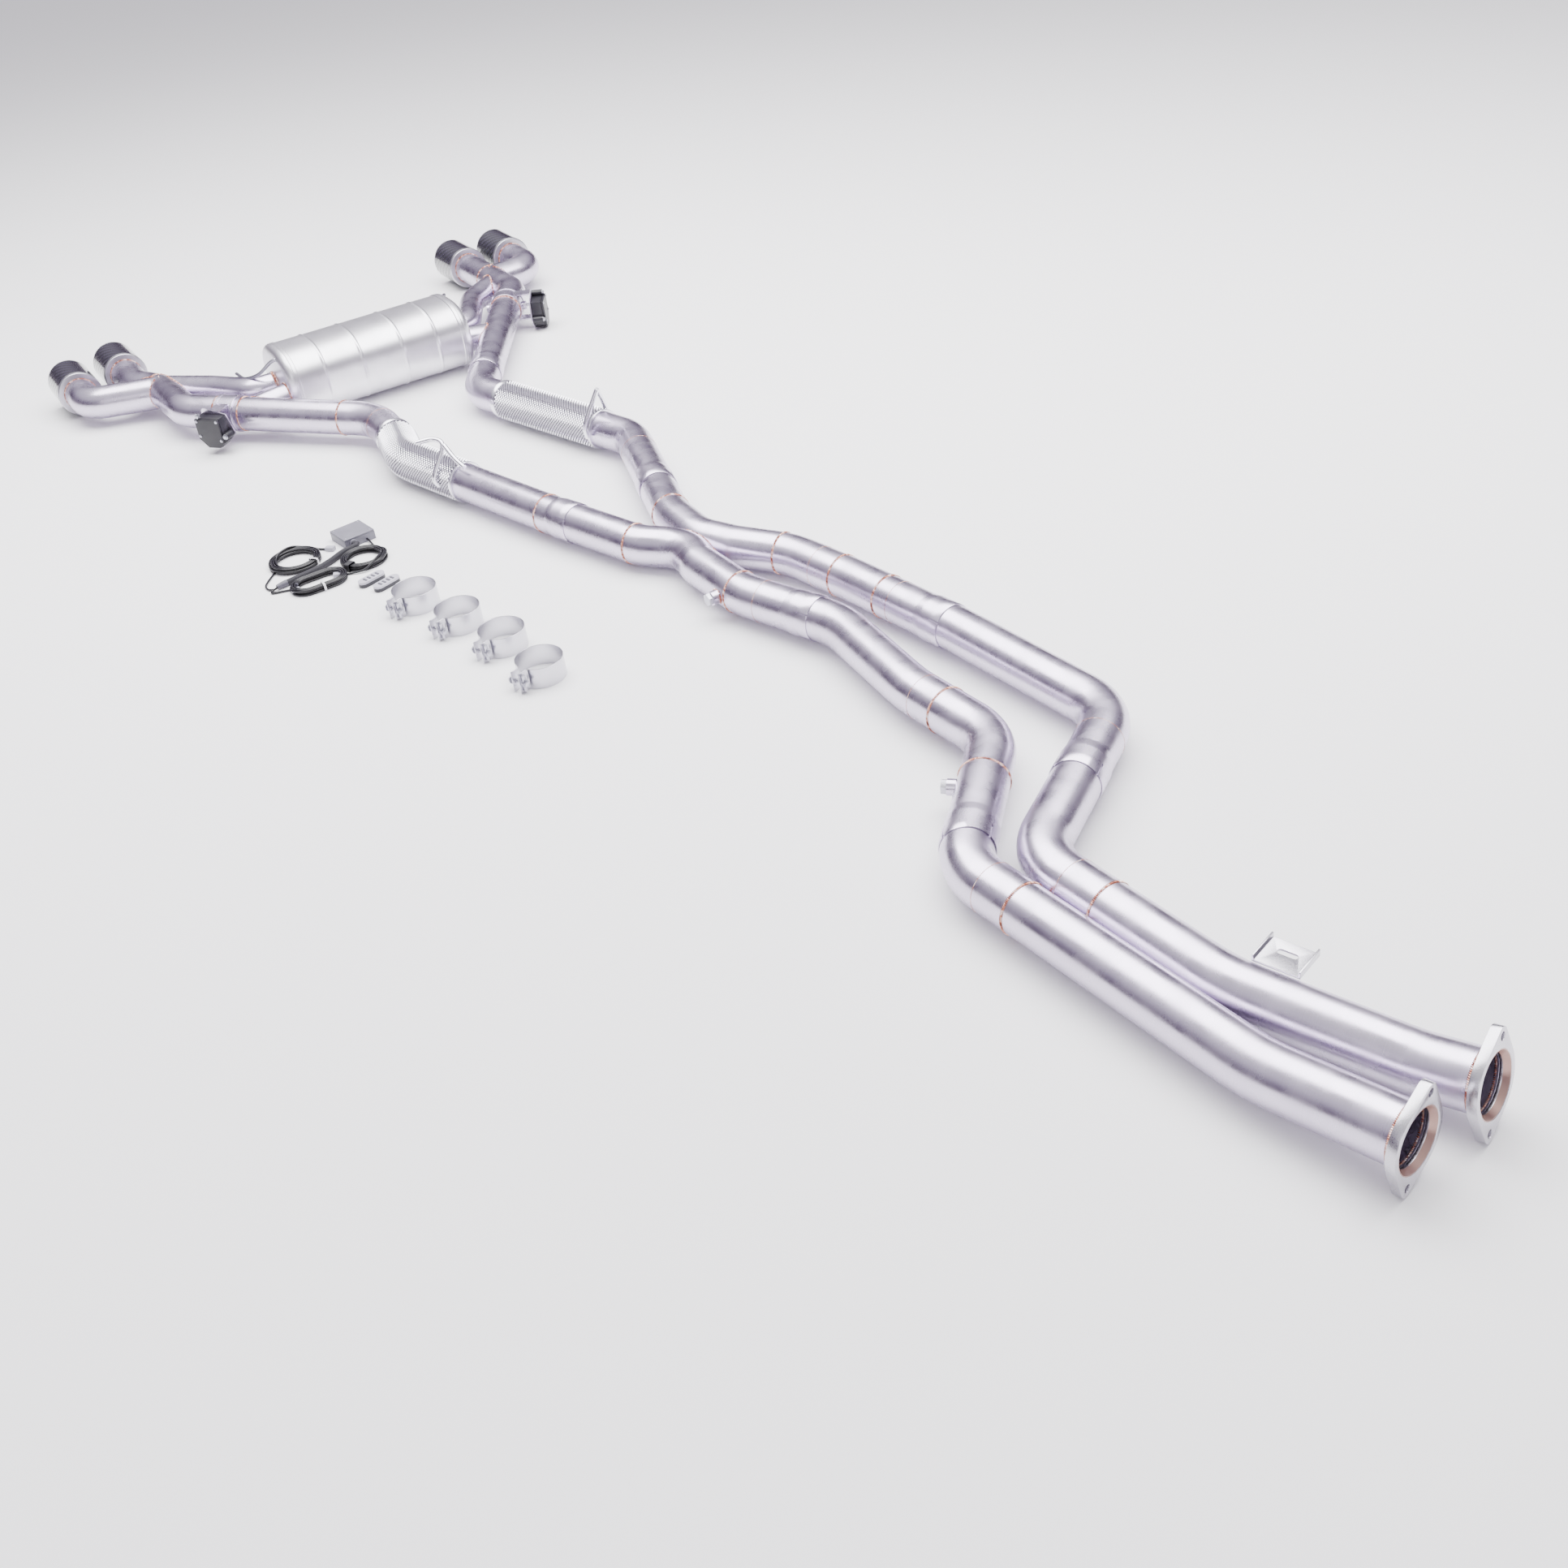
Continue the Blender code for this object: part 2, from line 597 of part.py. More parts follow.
def shrunk(outline, margin):
    """Convex outline moved in by a margin on every side."""
    count = len(outline)
    area = sum(a[0] * b[1] - b[0] * a[1] for a, b in zip(outline, outline[1:] + outline[:1]))
    turn = 1 if area > 0 else -1
    result = []
    for i in range(count):
        before, corner, after = outline[i - 1], outline[i], outline[(i + 1) % count]
        into = Vector((corner[0] - before[0], corner[1] - before[1])).normalized()
        out = Vector((after[0] - corner[0], after[1] - corner[1])).normalized()
        normal_in = Vector((-into.y, into.x)) * turn
        normal_out = Vector((-out.y, out.x)) * turn
        move = (normal_in + normal_out) * (margin / (1 + normal_in.dot(normal_out)))
        result.append((corner[0] + move.x, corner[1] + move.y))
    return result


def actuator(side, frame, plastic):
    """Case and cover of an electric actuator; returns what its bracket has to match."""
    flat = frame @ Matrix(((1, 0, 0, 0), (0, 0, 1, 0), (0, 1, 0, 0), (0, 0, 0, 1)))
    flat = flat @ Matrix.Translation((0, -CASE_DROP[side], 0))
    face = chamfered(CASE_LENGTH, CASE_HEIGHT, CASE_CHAMFER)
    floor = CASE_START + BRACKET_THICK + GAP
    rim = floor + CASE_DEPTH
    case = slab("actuator_case_" + side, face, floor, rim, plastic, flat, 20)
    lugs = [(CASE_LENGTH / 2 - LUG_R, CASE_HEIGHT / 2 + LUG_R * 0.6),
            (-CASE_LENGTH / 2 - LUG_R * 0.6, -LUG_R)]
    for lug in lugs:
        boolean(case, slab("lug", circle(LUG_R, 16, lug), floor, rim, plastic, flat), "UNION")
    hollow = slab("hollow", shrunk(face, CASE_WALL), floor + CASE_WALL, rim + BEYOND, plastic, flat)
    boolean(case, hollow, "DIFFERENCE")
    entry = local_line(frame, (0, floor - BEYOND, 0), (0, floor + BEYOND, 0))
    boolean(case, rod("entry", entry, SHAFT_R + ENTRY_ROOM, plastic, 24), "DIFFERENCE")
    for lug in lugs:
        drill = slab("drill", circle(ACTUATOR_BOLT_R, 12, lug), floor - BEYOND, rim + BEYOND, plastic, flat)
        boolean(case, drill, "DIFFERENCE")
    slab("actuator_cover_" + side, shrunk(face, GAP), rim + GAP, rim + GAP + COVER_THICK, plastic, flat, 20)
    return flat, face, lugs


def actuator_bracket(body, frame, flat, face, lugs, steel):
    """Plate behind an actuator, welded to the valve body by two arms."""
    ears = [point for lug in lugs for point in circle(LUG_R, 12, lug)]
    back = CASE_START
    bracket = slab("bracket", hull(face + ears), back, back + BRACKET_THICK, steel, flat)
    for z in (VALVE_BODY_R - ARM_DROP, -VALVE_BODY_R + ARM_DROP):
        root = math.sqrt(VALVE_BODY_R ** 2 - z ** 2) - VALVE_WALL / 2
        arm = box("arm", (-ARM_WIDTH / 2, root, z - BRACKET_THICK / 2),
                  (ARM_WIDTH / 2, back + BRACKET_THICK / 2, z + BRACKET_THICK / 2), steel, frame)
        boolean(bracket, arm, "UNION")
    entry = local_line(frame, (0, back - BEYOND, 0), (0, back + BEYOND, 0))
    boolean(bracket, rod("entry", entry, SHAFT_R + ENTRY_ROOM, steel, 24), "DIFFERENCE")
    for lug in lugs:
        drill = slab("drill", circle(ACTUATOR_BOLT_R, 12, lug), back - BEYOND, back + BEYOND, steel, flat)
        boolean(bracket, drill, "DIFFERENCE")
    return boolean(body, bracket, "UNION")


# ---- Muffler ---------------------------------------------------------------

def oval(inset, steps=28, power=2.7):
    """Muffler's section, moved in by an even amount."""
    outline = []
    for k in range(steps):
        turn = 2 * math.pi * k / steps
        c = math.cos(turn)
        s = math.sin(turn)
        outline.append((math.copysign(abs(c) ** (2 / power), c) * (MUFFLER_HALF_WIDTH - inset),
                        math.copysign(abs(s) ** (2 / power), s) * (MUFFLER_HALF_HEIGHT - inset)))
    return outline


def oval_lofts(*lofts):
    """Vertices and faces of lofts of the muffler's section, each a list of (y, inset)."""
    centre = at(*MUFFLER_CENTRE)
    vertices = []
    faces = []
    steps = len(oval(0))
    firsts = []
    for loft in lofts:
        firsts.append(len(vertices))
        rings = [[centre + Vector((x, y, z)) for x, z in oval(inset)] for y, inset in loft]
        skin(rings, faces, len(vertices))
        vertices += [v for ring in rings for v in ring]
    return vertices, faces, firsts, steps


def oval_shell(name, outside, inside, material, closed_end=False):
    """Hollow oval; closed_end fills the last ring of each loft, as on a pressed cap."""
    vertices, faces, (a, b), steps = oval_lofts(outside, inside)
    for k in range(steps):
        m = (k + 1) % steps
        faces.append((a + k, a + m, b + m, b + k))
    last_out = a + (len(outside) - 1) * steps
    last_in = b + (len(inside) - 1) * steps
    if closed_end:
        faces.append(tuple(range(last_out, last_out + steps)))
        faces.append(tuple(range(last_in, last_in + steps)))
    else:
        for k in range(steps):
            m = (k + 1) % steps
            faces.append((last_out + k, last_out + m, last_in + m, last_in + k))
    return add_mesh(name, vertices, faces, material)


def oval_block(name, low, high, inset, material):
    vertices, faces, (a,), steps = oval_lofts([(low, inset), (high, inset)])
    faces.append(tuple(range(a, a + steps)))
    faces.append(tuple(range(a + steps, a + 2 * steps)))
    return add_mesh(name, vertices, faces, material)


def muffler(stubs, steel, wool):
    """Shell, caps, baffles, perforated cores and packing; stubs are the pipes through each cap."""
    wall = MUFFLER_WALL
    shell_end = MUFFLER_HALF_LENGTH - MUFFLER_CAP_DEPTH
    ends = (-shell_end, shell_end)
    oval_shell("muffler_shell", [(y, 0) for y in ends], [(y, wall) for y in ends], steel)
    for side, sign in (("right", -1), ("left", 1)):
        start = shell_end + GAP
        steps = [(0, 0), (0.35, 0.0015), (0.75, 0.007), (1, 0.017)]
        outside = [(sign * (start + share * MUFFLER_CAP_DEPTH), inset) for share, inset in steps]
        inside = [(sign * (start + max(share * MUFFLER_CAP_DEPTH - wall, 0)), inset + wall)
                  for share, inset in steps]
        cap = oval_shell("muffler_cap_" + side, outside, inside, steel, True)
        for line in stubs[side]:
            boolean(cap, rod("opening", line, MUFFLER_PIPE_R + GAP, steel, 24), "DIFFERENCE")
    reach = BAFFLE_OFFSET + CORE_PAST_BAFFLE
    inset = wall + GAP
    core = None
    for y in (-BAFFLE_OFFSET, BAFFLE_OFFSET):
        baffle = oval_block("muffler_core", y - BAFFLE_THICK / 2, y + BAFFLE_THICK / 2, inset, steel)
        if core is None:
            core = baffle
        else:
            second = baffle
    room = BAFFLE_OFFSET - BAFFLE_THICK / 2 - GAP
    packing = oval_block("muffler_packing", -room, room, inset + PACKING_GAP, wool)
    lines = []
    for x in CORE_X:
        middle = at(x, MUFFLER_CENTRE[1], MUFFLER_CENTRE[2])
        lines.append([middle + Vector((0, y, 0)) for y in (-reach, reach)])
    for line in lines:
        boolean(core, rod("core", line, CORE_R, steel), "UNION")
        boolean(packing, rod("hole", line, CORE_R + GAP, steel), "DIFFERENCE")
    boolean(core, second, "UNION")
    for line in lines:
        past = [point_at(line, -BEYOND)[0], point_at(line, length_of(line) + BEYOND)[0]]
        boolean(core, rod("bore", past, CORE_R - CORE_WALL, steel), "DIFFERENCE")
        for k in range(CORE_HOLES):
            spot = point_at(line, reach + (k - (CORE_HOLES - 1) / 2) * CORE_HOLE_PITCH)[0]
            across = Vector((0, 0, CORE_R + CORE_WALL))
            hole = bar_between("hole", spot - across, spot + across, CORE_HOLE_R, steel, 6)
            boolean(core, hole, "DIFFERENCE")


# ---- Small steel pieces ----------------------------------------------------

def bung_axis(line, distance):
    """Point on the pipe's axis under a sensor bung, and the bung's level direction."""
    centre, direction = point_at(line, distance)
    return centre, Vector((0, 0, 1)).cross(direction).normalized()


def sensor_bung(line, distance, steel):
    """Threaded boss for a pipe's side, and the drill that opens it into the pipe."""
    centre, outward = bung_axis(line, distance)
    root = centre + outward * (PIPE_R - PIPE_WALL)
    face = centre + outward * (PIPE_R + BUNG_LENGTH)
    boss = bar_between("boss", root, face, BUNG_R, steel, 20)
    drill = bar_between("drill", centre, face + outward * BEYOND, BUNG_BORE_R, steel, 20)
    return boss, drill


def sensor_plug(name, line, distance, steel):
    """Hexagon plug whose stem fills a sensor bung."""
    centre, outward = bung_axis(line, distance)
    seat = PIPE_R + BUNG_LENGTH + GAP
    reaches = (seat - PLUG_STEM, seat, seat + PLUG_LENGTH / 2, seat + PLUG_LENGTH)
    tip_end, under, middle, top = (centre + outward * reach for reach in reaches)
    plug = bar_between(name, under, top, PLUG_R, steel, 6)
    stem = bar_between("stem", tip_end, middle, BUNG_BORE_R - GAP, steel, 20)
    return boolean(plug, stem, "UNION")


def smooth_route(spots, spacing):
    """Even points on a smooth curve through the spots."""
    points = [Vector(p) for p in spots]
    padded = [points[0] * 2 - points[1]] + points + [points[-1] * 2 - points[-2]]
    fine = []
    for p0, p1, p2, p3 in zip(padded, padded[1:], padded[2:], padded[3:]):
        for k in range(24):
            t = k / 24
            fine.append(0.5 * ((2 * p1) + (p2 - p0) * t + (2 * p0 - 5 * p1 + 4 * p2 - p3) * t ** 2
                               + (3 * p1 - p0 - 3 * p2 + p3) * t ** 3))
    fine.append(points[-1])
    total = length_of(fine)
    count = max(2, round(total / spacing))
    return [point_at(fine, total * k / count)[0] for k in range(count + 1)]


def inlet_line(side, line):
    """Axis of the short pipe from a main pipe into the muffler, square to the muffler's cap."""
    x = INLET_X[side] - PLAN_CENTRE[0]
    start = next(a.lerp(b, (x - a.x) / (b.x - a.x)) for a, b in zip(line, line[1:]) if b.x <= x <= a.x)
    sign = 1 if side == "right" else -1
    cap = at(INLET_X[side], MUFFLER_CENTRE[1] - sign * MUFFLER_HALF_LENGTH, MUFFLER_CENTRE[2] - 0.0150)
    return [start, cap + Vector((0, sign * INLET_INSIDE, 0))]


def hanger_rod(line, distance, spots, steel):
    """Rod bent through places given from a point on a pipe's axis."""
    centre, _ = point_at(line, distance)
    points = smooth_route([centre + Vector(spot) for spot in spots], HANGER_R * 2.4)
    return rod("rod", points, HANGER_R, steel, 10)


def front_bracket(line, steel):
    """Channel-shaped support plate with a slot, welded on the left front pipe."""
    centre, direction = point_at(line, BRACKET_AT)
    outward = direction.cross(Vector((0, 0, 1))).normalized()
    frame = Matrix((direction, outward, outward.cross(direction))).transposed().to_4x4()
    frame = Matrix.Translation(centre) @ frame
    half = PLATE_SIZE / 2
    beside = [(point_at(line, BRACKET_AT + offset)[0] - centre).dot(outward) for offset in (-half, 0, half)]
    foot = max(beside) + math.sqrt((PIPE_R + GAP) ** 2 - PLATE_HEIGHT ** 2)
    wall = PLATE_THICK
    lip = LIP_HEIGHT
    inner = half - wall
    section = [(-half, 0), (half, 0), (half, lip), (inner + LIP_DRAFT, lip), (inner, wall),
               (-inner, wall), (-inner - LIP_DRAFT, lip), (-half, lip)]
    turned_up = frame @ Matrix(((1, 0, 0, 0), (0, 0, 1, 0), (0, 1, 0, PLATE_HEIGHT), (0, 0, 0, 1)))
    plate = slab("front_bracket", section, foot, PLATE_REACH, steel, turned_up)
    ends = [circle(SLOT_R, 12, (sign * SLOT_HALF, PLATE_REACH - SLOT_INSET)) for sign in (-1, 1)]
    slot = slab("slot", hull(ends[0] + ends[1]), PLATE_HEIGHT - BEYOND, PLATE_HEIGHT + BEYOND, steel, frame)
    return boolean(plate, slot, "DIFFERENCE")


def offset_ribbon(points, thickness):
    """Closed outline of an even ribbon along 2-D points."""
    left = []
    right = []
    for i, p in enumerate(points):
        a = Vector(points[max(i - 1, 0)])
        b = Vector(points[min(i + 1, len(points) - 1)])
        normal = Vector((a.y - b.y, b.x - a.x)).normalized() * (thickness / 2)
        left.append((p[0] + normal.x, p[1] + normal.y))
        right.append((p[0] - normal.x, p[1] - normal.y))
    return left + right[::-1]


def band_clamp(name, centre, heading, steel):
    """Open band with turned-out lugs, standing on its edge."""
    frame = Matrix.Translation(at(*centre, 0)) @ Matrix.Rotation(heading, 4, "Z")
    middle = CLAMP_R + CLAMP_THICK / 2
    half_mouth = math.asin(CLAMP_MOUTH / 2 / middle)
    ring = circle(middle, 28, (0, 0), half_mouth, 2 * math.pi - 2 * half_mouth)
    lug = [(middle + CLAMP_LUG, CLAMP_MOUTH / 2), (middle + 0.004, CLAMP_MOUTH / 2)]
    path = lug + ring + [(x, -y) for x, y in reversed(lug)]
    band = slab(name, offset_ribbon(path, CLAMP_THICK), 0, CLAMP_HEIGHT, steel, frame, 25)
    x = middle + CLAMP_LUG * 0.6
    z = CLAMP_HEIGHT / 2
    drill = local_line(frame, (x, -0.03, z), (x, 0.03, z))
    boolean(band, rod("drill", drill, CLAMP_BOLT_R + GAP, steel, 12), "DIFFERENCE")
    return band


# ---- Controller, loom and remotes ------------------------------------------

def controller(plastic):
    """Open box with a lid, and an entry for the conduit in its front."""
    frame = Matrix.Translation(at(*BOX_CENTRE, 0)) @ Matrix.Rotation(BOX_TURN, 4, "Z")
    x, y, height = (BOX_SIZE[0] / 2, BOX_SIZE[1] / 2, BOX_SIZE[2] - LID_THICK - GAP)
    wall = BOX_WALL
    case = box("controller_case", (-x, -y, 0), (x, y, height), plastic, frame)
    hollow = box("hollow", (wall - x, wall - y, wall), (x - wall, y - wall, height + BEYOND), plastic, frame)
    boolean(case, hollow, "DIFFERENCE")
    across, up = CONDUIT_EXIT
    entry = local_line(frame, (x - wall * 2, across, up), (x + BEYOND, across, up))
    boolean(case, rod("entry", entry, CONDUIT_R - CONDUIT_WALL, plastic, 12), "DIFFERENCE")
    box("controller_lid", (-x, -y, height + GAP), (x, y, BOX_SIZE[2]), plastic, frame)
    return local_line(frame, *((x + reach, across, up) for reach in (GAP, CONDUIT_R, CONDUIT_R * 2.5)))


def conduit(exit_points, plastic):
    """Thick cable sleeve from the controller to the hank."""
    points = exit_points[:1] + smooth_route(exit_points[1:] + [at(*spot) for spot in CONDUIT], CONDUIT_R * 4)
    curve = bpy.data.curves.new("loom_conduit", "CURVE")
    curve.dimensions = "3D"
    curve.bevel_depth = CONDUIT_R
    curve.bevel_resolution = 3
    curve.use_fill_caps = True
    spline = curve.splines.new("POLY")
    spline.points.add(len(points) - 1)
    for spot, point in zip(spline.points, points):
        spot.co = (*point, 1)
    curve.materials.append(plastic)
    bpy.context.scene.collection.objects.link(bpy.data.objects.new("loom_conduit", curve))


def coil(name, centre, size, plastic):
    """Round coil of cable as one turned ring."""
    middle, width, height = size
    inner = middle - width / 2
    outer = middle + width / 2
    edge = height * 0.3
    section = [(0, inner + edge), (0, outer - edge), (edge, outer), (height - edge, outer),
               (height, outer - edge), (height, inner + edge), (height - edge, inner), (edge, inner)]
    turned(name, Matrix.Translation(at(*centre, 0)), section, plastic)


def hank(plastic):
    """Oval hank of cable with an open middle."""
    frame = Matrix.Translation(at(*HANK_CENTRE, 0)) @ Matrix.Rotation(HANK_TURN, 4, "Z")
    body = slab("loom_hank", stadium(*HANK_SIZE), 0, HANK_HEIGHT, plastic, frame)
    opening = stadium(HANK_SIZE[0] - 2 * HANK_WIDTH, HANK_SIZE[1] - 2 * HANK_WIDTH)
    boolean(body, slab("opening", opening, -BEYOND, HANK_HEIGHT + BEYOND, plastic, frame), "DIFFERENCE")


def stadium(length, width, centre=(0, 0), steps=20):
    """Outline with two round ends, long way in x unless it is wider than long."""
    radius = min(length, width) / 2
    reach = ((length / 2 - radius), (width / 2 - radius))
    ends = [circle(radius, steps, (centre[0] + s * reach[0], centre[1] + s * reach[1])) for s in (-1, 1)]
    return hull(ends[0] + ends[1])


def remote(number, place, heading, plastic, rubber):
    """Key-fob remote with a well for each bar button, and the buttons."""
    frame = Matrix.Translation(at(*place, 0)) @ Matrix.Rotation(heading, 4, "Z")
    length, width, height = REMOTE_SIZE
    case = slab("remote_case_%d" % number, stadium(length, width), 0, height, plastic, frame)
    well_floor = height + BUTTON_RISE - BUTTON_HEIGHT - BUTTON_TRAVEL - GAP
    for i in range(BUTTONS):
        x = (i - (BUTTONS - 1) / 2) * BUTTON_PITCH
        room = stadium(BUTTON_SIZE[0] + 2 * GAP, BUTTON_SIZE[1] + 2 * GAP, (x, 0), 12)
        boolean(case, slab("well", room, well_floor, height + BEYOND, plastic, frame), "DIFFERENCE")
        outline = stadium(*BUTTON_SIZE, (0, 0), 12)
        button = slab("remote_%d_button_%d" % (number, i + 1), outline, -BUTTON_HEIGHT, 0, rubber)
        button.matrix_world = frame @ Matrix.Translation((x, 0, height + BUTTON_RISE))


def build():
    for obj in list(bpy.data.objects):
        bpy.data.objects.remove(obj)
    steel = finish("satin stainless steel", (0.62, 0.59, 0.63), 1.0, 0.38)
    plate = finish("machined stainless plate", (0.66, 0.63, 0.65), 1.0, 0.30)
    wrap = finish("embossed heat shield", (0.72, 0.72, 0.76), 1.0, 0.30)
    carbon = finish("carbon fibre", (0.03, 0.025, 0.035), 0.0, 0.15)
    plastic = finish("black plastic", (0.04, 0.035, 0.05), 0.0, 0.45)
    rubber = finish("rubber", (0.20, 0.20, 0.22), 0.0, 0.60)
    wool = finish("glass wool", (0.75, 0.72, 0.6), 0.0, 0.95)

    fronts = {"right": rounded(FRONT_RIGHT), "left": rounded(FRONT_LEFT)}
    rears = {"right": rounded(REAR_RIGHT), "left": rounded(REAR_LEFT)}
    branches = {"right": rounded(BRANCH_RIGHT), "left": rounded(BRANCH_LEFT)}
    outlets = {"right": rounded(OUTLET_RIGHT), "left": rounded(OUTLET_LEFT)}
    inside = SLIP_OVERLAP - SLIP_END_GAP
    bungs = [sensor_bung(fronts["right"], distance, steel) for distance in BUNG_AT]
    for name, distance in zip(("sensor_plug_front", "sensor_plug_rear"), BUNG_AT):
        sensor_plug(name, fronts["right"], distance, plate)
    x_pipe(fronts, rears, bungs[1], steel)
    stubs = {}
    for side in ("right", "left"):
        line = fronts[side]
        slip = SLIP_FRONT[side]
        inlet_flange(side, line, plate)
        pipe_run("front_pipe_" + side, line, FLANGE_THICK + GAP, slip + inside, steel)
        mid = pipe_run("mid_pipe_" + side, line, slip, SLIP_MID[side] + inside, steel, True)
        if side == "right":
            boolean(mid, bungs[0][0], "UNION")
            boolean(mid, bungs[0][1], "DIFFERENCE")

        line = rears[side]
        frame = valve_frame(line, VALVE_AT[side], side)
        before = VALVE_AT[side] - VALVE_LENGTH / 2 - GAP / 2
        last = ("rear_pipe_right", SLIP_REAR[side])
        if side == "left":
            last = ("tail_pipe_left", SLIP_TAIL_LEFT)
        if side == "left":
            pipe_run("rear_pipe_left", line, SLIP_REAR[side], SLIP_TAIL_LEFT + inside, steel, True)
        inlet = inlet_line(side, line)
        start = last[1] + GAP / 2
        runs = [(line, start, before, sleeved_pipe(before - start), True, True),
                (inlet, 0, length_of(inlet), plain_pipe(length_of(inlet), MUFFLER_PIPE_R), False, True)]
        manifold(last[0], runs, steel)
        wrap_length = WRAP[side][1] - WRAP[side][0]
        inner = PIPE_R + GAP
        shield = tube("heat_wrap_" + side, line, *WRAP[side],
                      [(0, inner + WRAP_THICK, inner), (wrap_length, inner + WRAP_THICK, inner)], wrap)
        for spots in HANGERS[side]:
            boolean(shield, hanger_rod(line, HANGER_AT[side], spots, wrap), "UNION")

        body = valve(side, frame, steel)
        actuator_bracket(body, frame, *actuator(side, frame, plastic), steel)
        branch = branches[side]
        outlet = outlets[side]
        y_pipe(side, line, branch, outlet, VALVE_AT[side] + VALVE_LENGTH / 2, steel)
        for place, end in (("inner", line), ("outer", branch)):
            tip(side + "_" + place, end, plate, carbon)
        stubs[side] = [inlet, outlet]
    muffler(stubs, steel, wool)
    front_bracket(fronts["left"], plate)
    for number, centre in enumerate(CLAMP_CENTRES, 1):
        band_clamp("clamp_band_%d" % number, centre, CLAMP_HEADING, plate)
    conduit(controller(plastic), rubber)
    coil("loom_coil_left", COIL_LEFT_CENTRE, COIL_LEFT, plastic)
    coil("loom_coil_right", COIL_RIGHT_CENTRE, COIL_RIGHT, plastic)
    hank(plastic)
    for number, (place, heading) in enumerate(REMOTES, 1):
        remote(number, place, heading, plastic, rubber)


build()
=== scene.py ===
"""Racing exhaust system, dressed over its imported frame.

Metres, +X towards the inlet flanges, +Y to the vehicle's left, +Z up. The pipes are lofted
again along the frame's own centre lines with fine sides, so that they read as drawn tube.
"""
import math

import bmesh
import bpy
import numpy as np
from mathutils import Matrix, Vector


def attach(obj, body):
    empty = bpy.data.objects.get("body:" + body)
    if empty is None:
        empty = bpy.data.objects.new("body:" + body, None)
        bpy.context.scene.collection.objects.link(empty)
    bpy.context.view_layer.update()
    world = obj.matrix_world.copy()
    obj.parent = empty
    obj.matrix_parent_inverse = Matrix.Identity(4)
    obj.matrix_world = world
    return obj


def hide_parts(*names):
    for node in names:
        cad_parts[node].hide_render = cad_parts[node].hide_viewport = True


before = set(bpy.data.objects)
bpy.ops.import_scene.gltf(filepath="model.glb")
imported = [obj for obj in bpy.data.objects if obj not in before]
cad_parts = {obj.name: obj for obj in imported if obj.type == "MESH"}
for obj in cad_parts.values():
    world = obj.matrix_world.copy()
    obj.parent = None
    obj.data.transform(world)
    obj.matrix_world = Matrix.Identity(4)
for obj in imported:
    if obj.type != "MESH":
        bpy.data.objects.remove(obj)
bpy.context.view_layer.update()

# ---- Sizes, as in the frame --------------------------------------------------
PLAN_CENTRE = (-0.0920, -0.0645)
GAP = 0.0003
PIPE_R = 0.038
PIPE_WALL = 0.0016
SIDES = 48
BEND_STEP = math.radians(5)
SLIP_OVERLAP = 0.045
SLIP_TAPER = 0.012
MUFFLER_PIPE_R = 0.030
FLANGE_THICK = 0.012
FLANGE_LEAN = math.radians(24)
SEAT_R = 0.0415
SEAT_DEPTH = 0.008
VALVE_LENGTH = 0.050
VALVE_R = 0.0415
BOSS_R = 0.010
BOSS_REACH = 0.050
SHAFT_R = 0.004
CASE_LENGTH = 0.062
CASE_HEIGHT = 0.068
CASE_DEPTH = 0.026
CASE_START = 0.062
CASE_CHAMFER = 0.016
CASE_DROP = {"right": 0.008, "left": 0.020}
COVER_THICK = 0.006
BRACKET_THICK = 0.003
LUG_R = 0.008
ARM_WIDTH = 0.030
ARM_DROP = 0.010
TIP_R = 0.052
TIP_LENGTH = 0.122
SLEEVE_THICK = 0.0016
TIP_CAP = 0.010
TIP_BORE_R = 0.0455
TIP_RIM = 0.006
TIP_EDGE = 0.003
TIP_INSET = 0.018
MUFFLER_CENTRE = (-1.350, -0.057, 0.0855)
MUFFLER_HALF_LENGTH = 0.227
MUFFLER_HALF_WIDTH = 0.105
MUFFLER_HALF_HEIGHT = 0.081
MUFFLER_WALL = 0.0016
MUFFLER_CAP_DEPTH = 0.018
RIBS = (-0.135, -0.045, 0.055, 0.140)
RIB_RISE = 0.0015
WRAP_THICK = 0.0045
BUNG_R = 0.0125
BUNG_LENGTH = 0.012
HANGER_R = 0.005
CLAMP_R = 0.0402
CLAMP_THICK = 0.0015
CLAMP_HEIGHT = 0.038
CLAMP_MOUTH = 0.016
CLAMP_LUG = 0.020
CLAMP_BOLT_R = 0.0035
BOX_SIZE = (0.066, 0.066, 0.020)
CONDUIT_R = 0.006
CABLE = 0.0042              # gauge of the thin leads
BRAID_PITCH = 0.0024
SLOT_HALF_WIDTH = 0.0013    # relief slots in the sleeves' mouths
SLOT_LENGTH = 0.024
FOIL_PITCH = 0.0080
FOIL_RELIEF = 0.0011        # how far the foil's skin lies below its hems
DIAMOND_SIZE = (FOIL_PITCH * 0.37, FOIL_PITCH * 0.37, 0.0020)

# Centre lines: corner x, y, z and bend radius, from the flange or the X-pipe rearward
FRONT_RIGHT = [(1.772, -0.059, 0.0631, 0), (1.584, -0.100, 0.046, 0.30), (1.080, -0.133, 0.044, 0.110),
               (0.868, 0.086, 0.044, 0.115), (0.677, 0.075, 0.044, 0.30), (0.431, 0.102, 0.044, 0.20),
               (0.225, 0.038, 0.042, 0.20), (0.076, 0.035, 0.042, 0)]
FRONT_LEFT = [(1.768, 0.064, 0.0636, 0), (1.684, 0.039, 0.048, 0.20), (1.461, -0.030, 0.044, 0.30),
              (1.125, -0.048, 0.044, 0.105), (0.932, 0.258, 0.044, 0.105), (0.577, 0.237, 0.044, 0.40),
              (0.313, 0.207, 0.042, 0.30), (0.157, 0.181, 0.042, 0.20), (0.058, 0.122, 0.042, 0)]
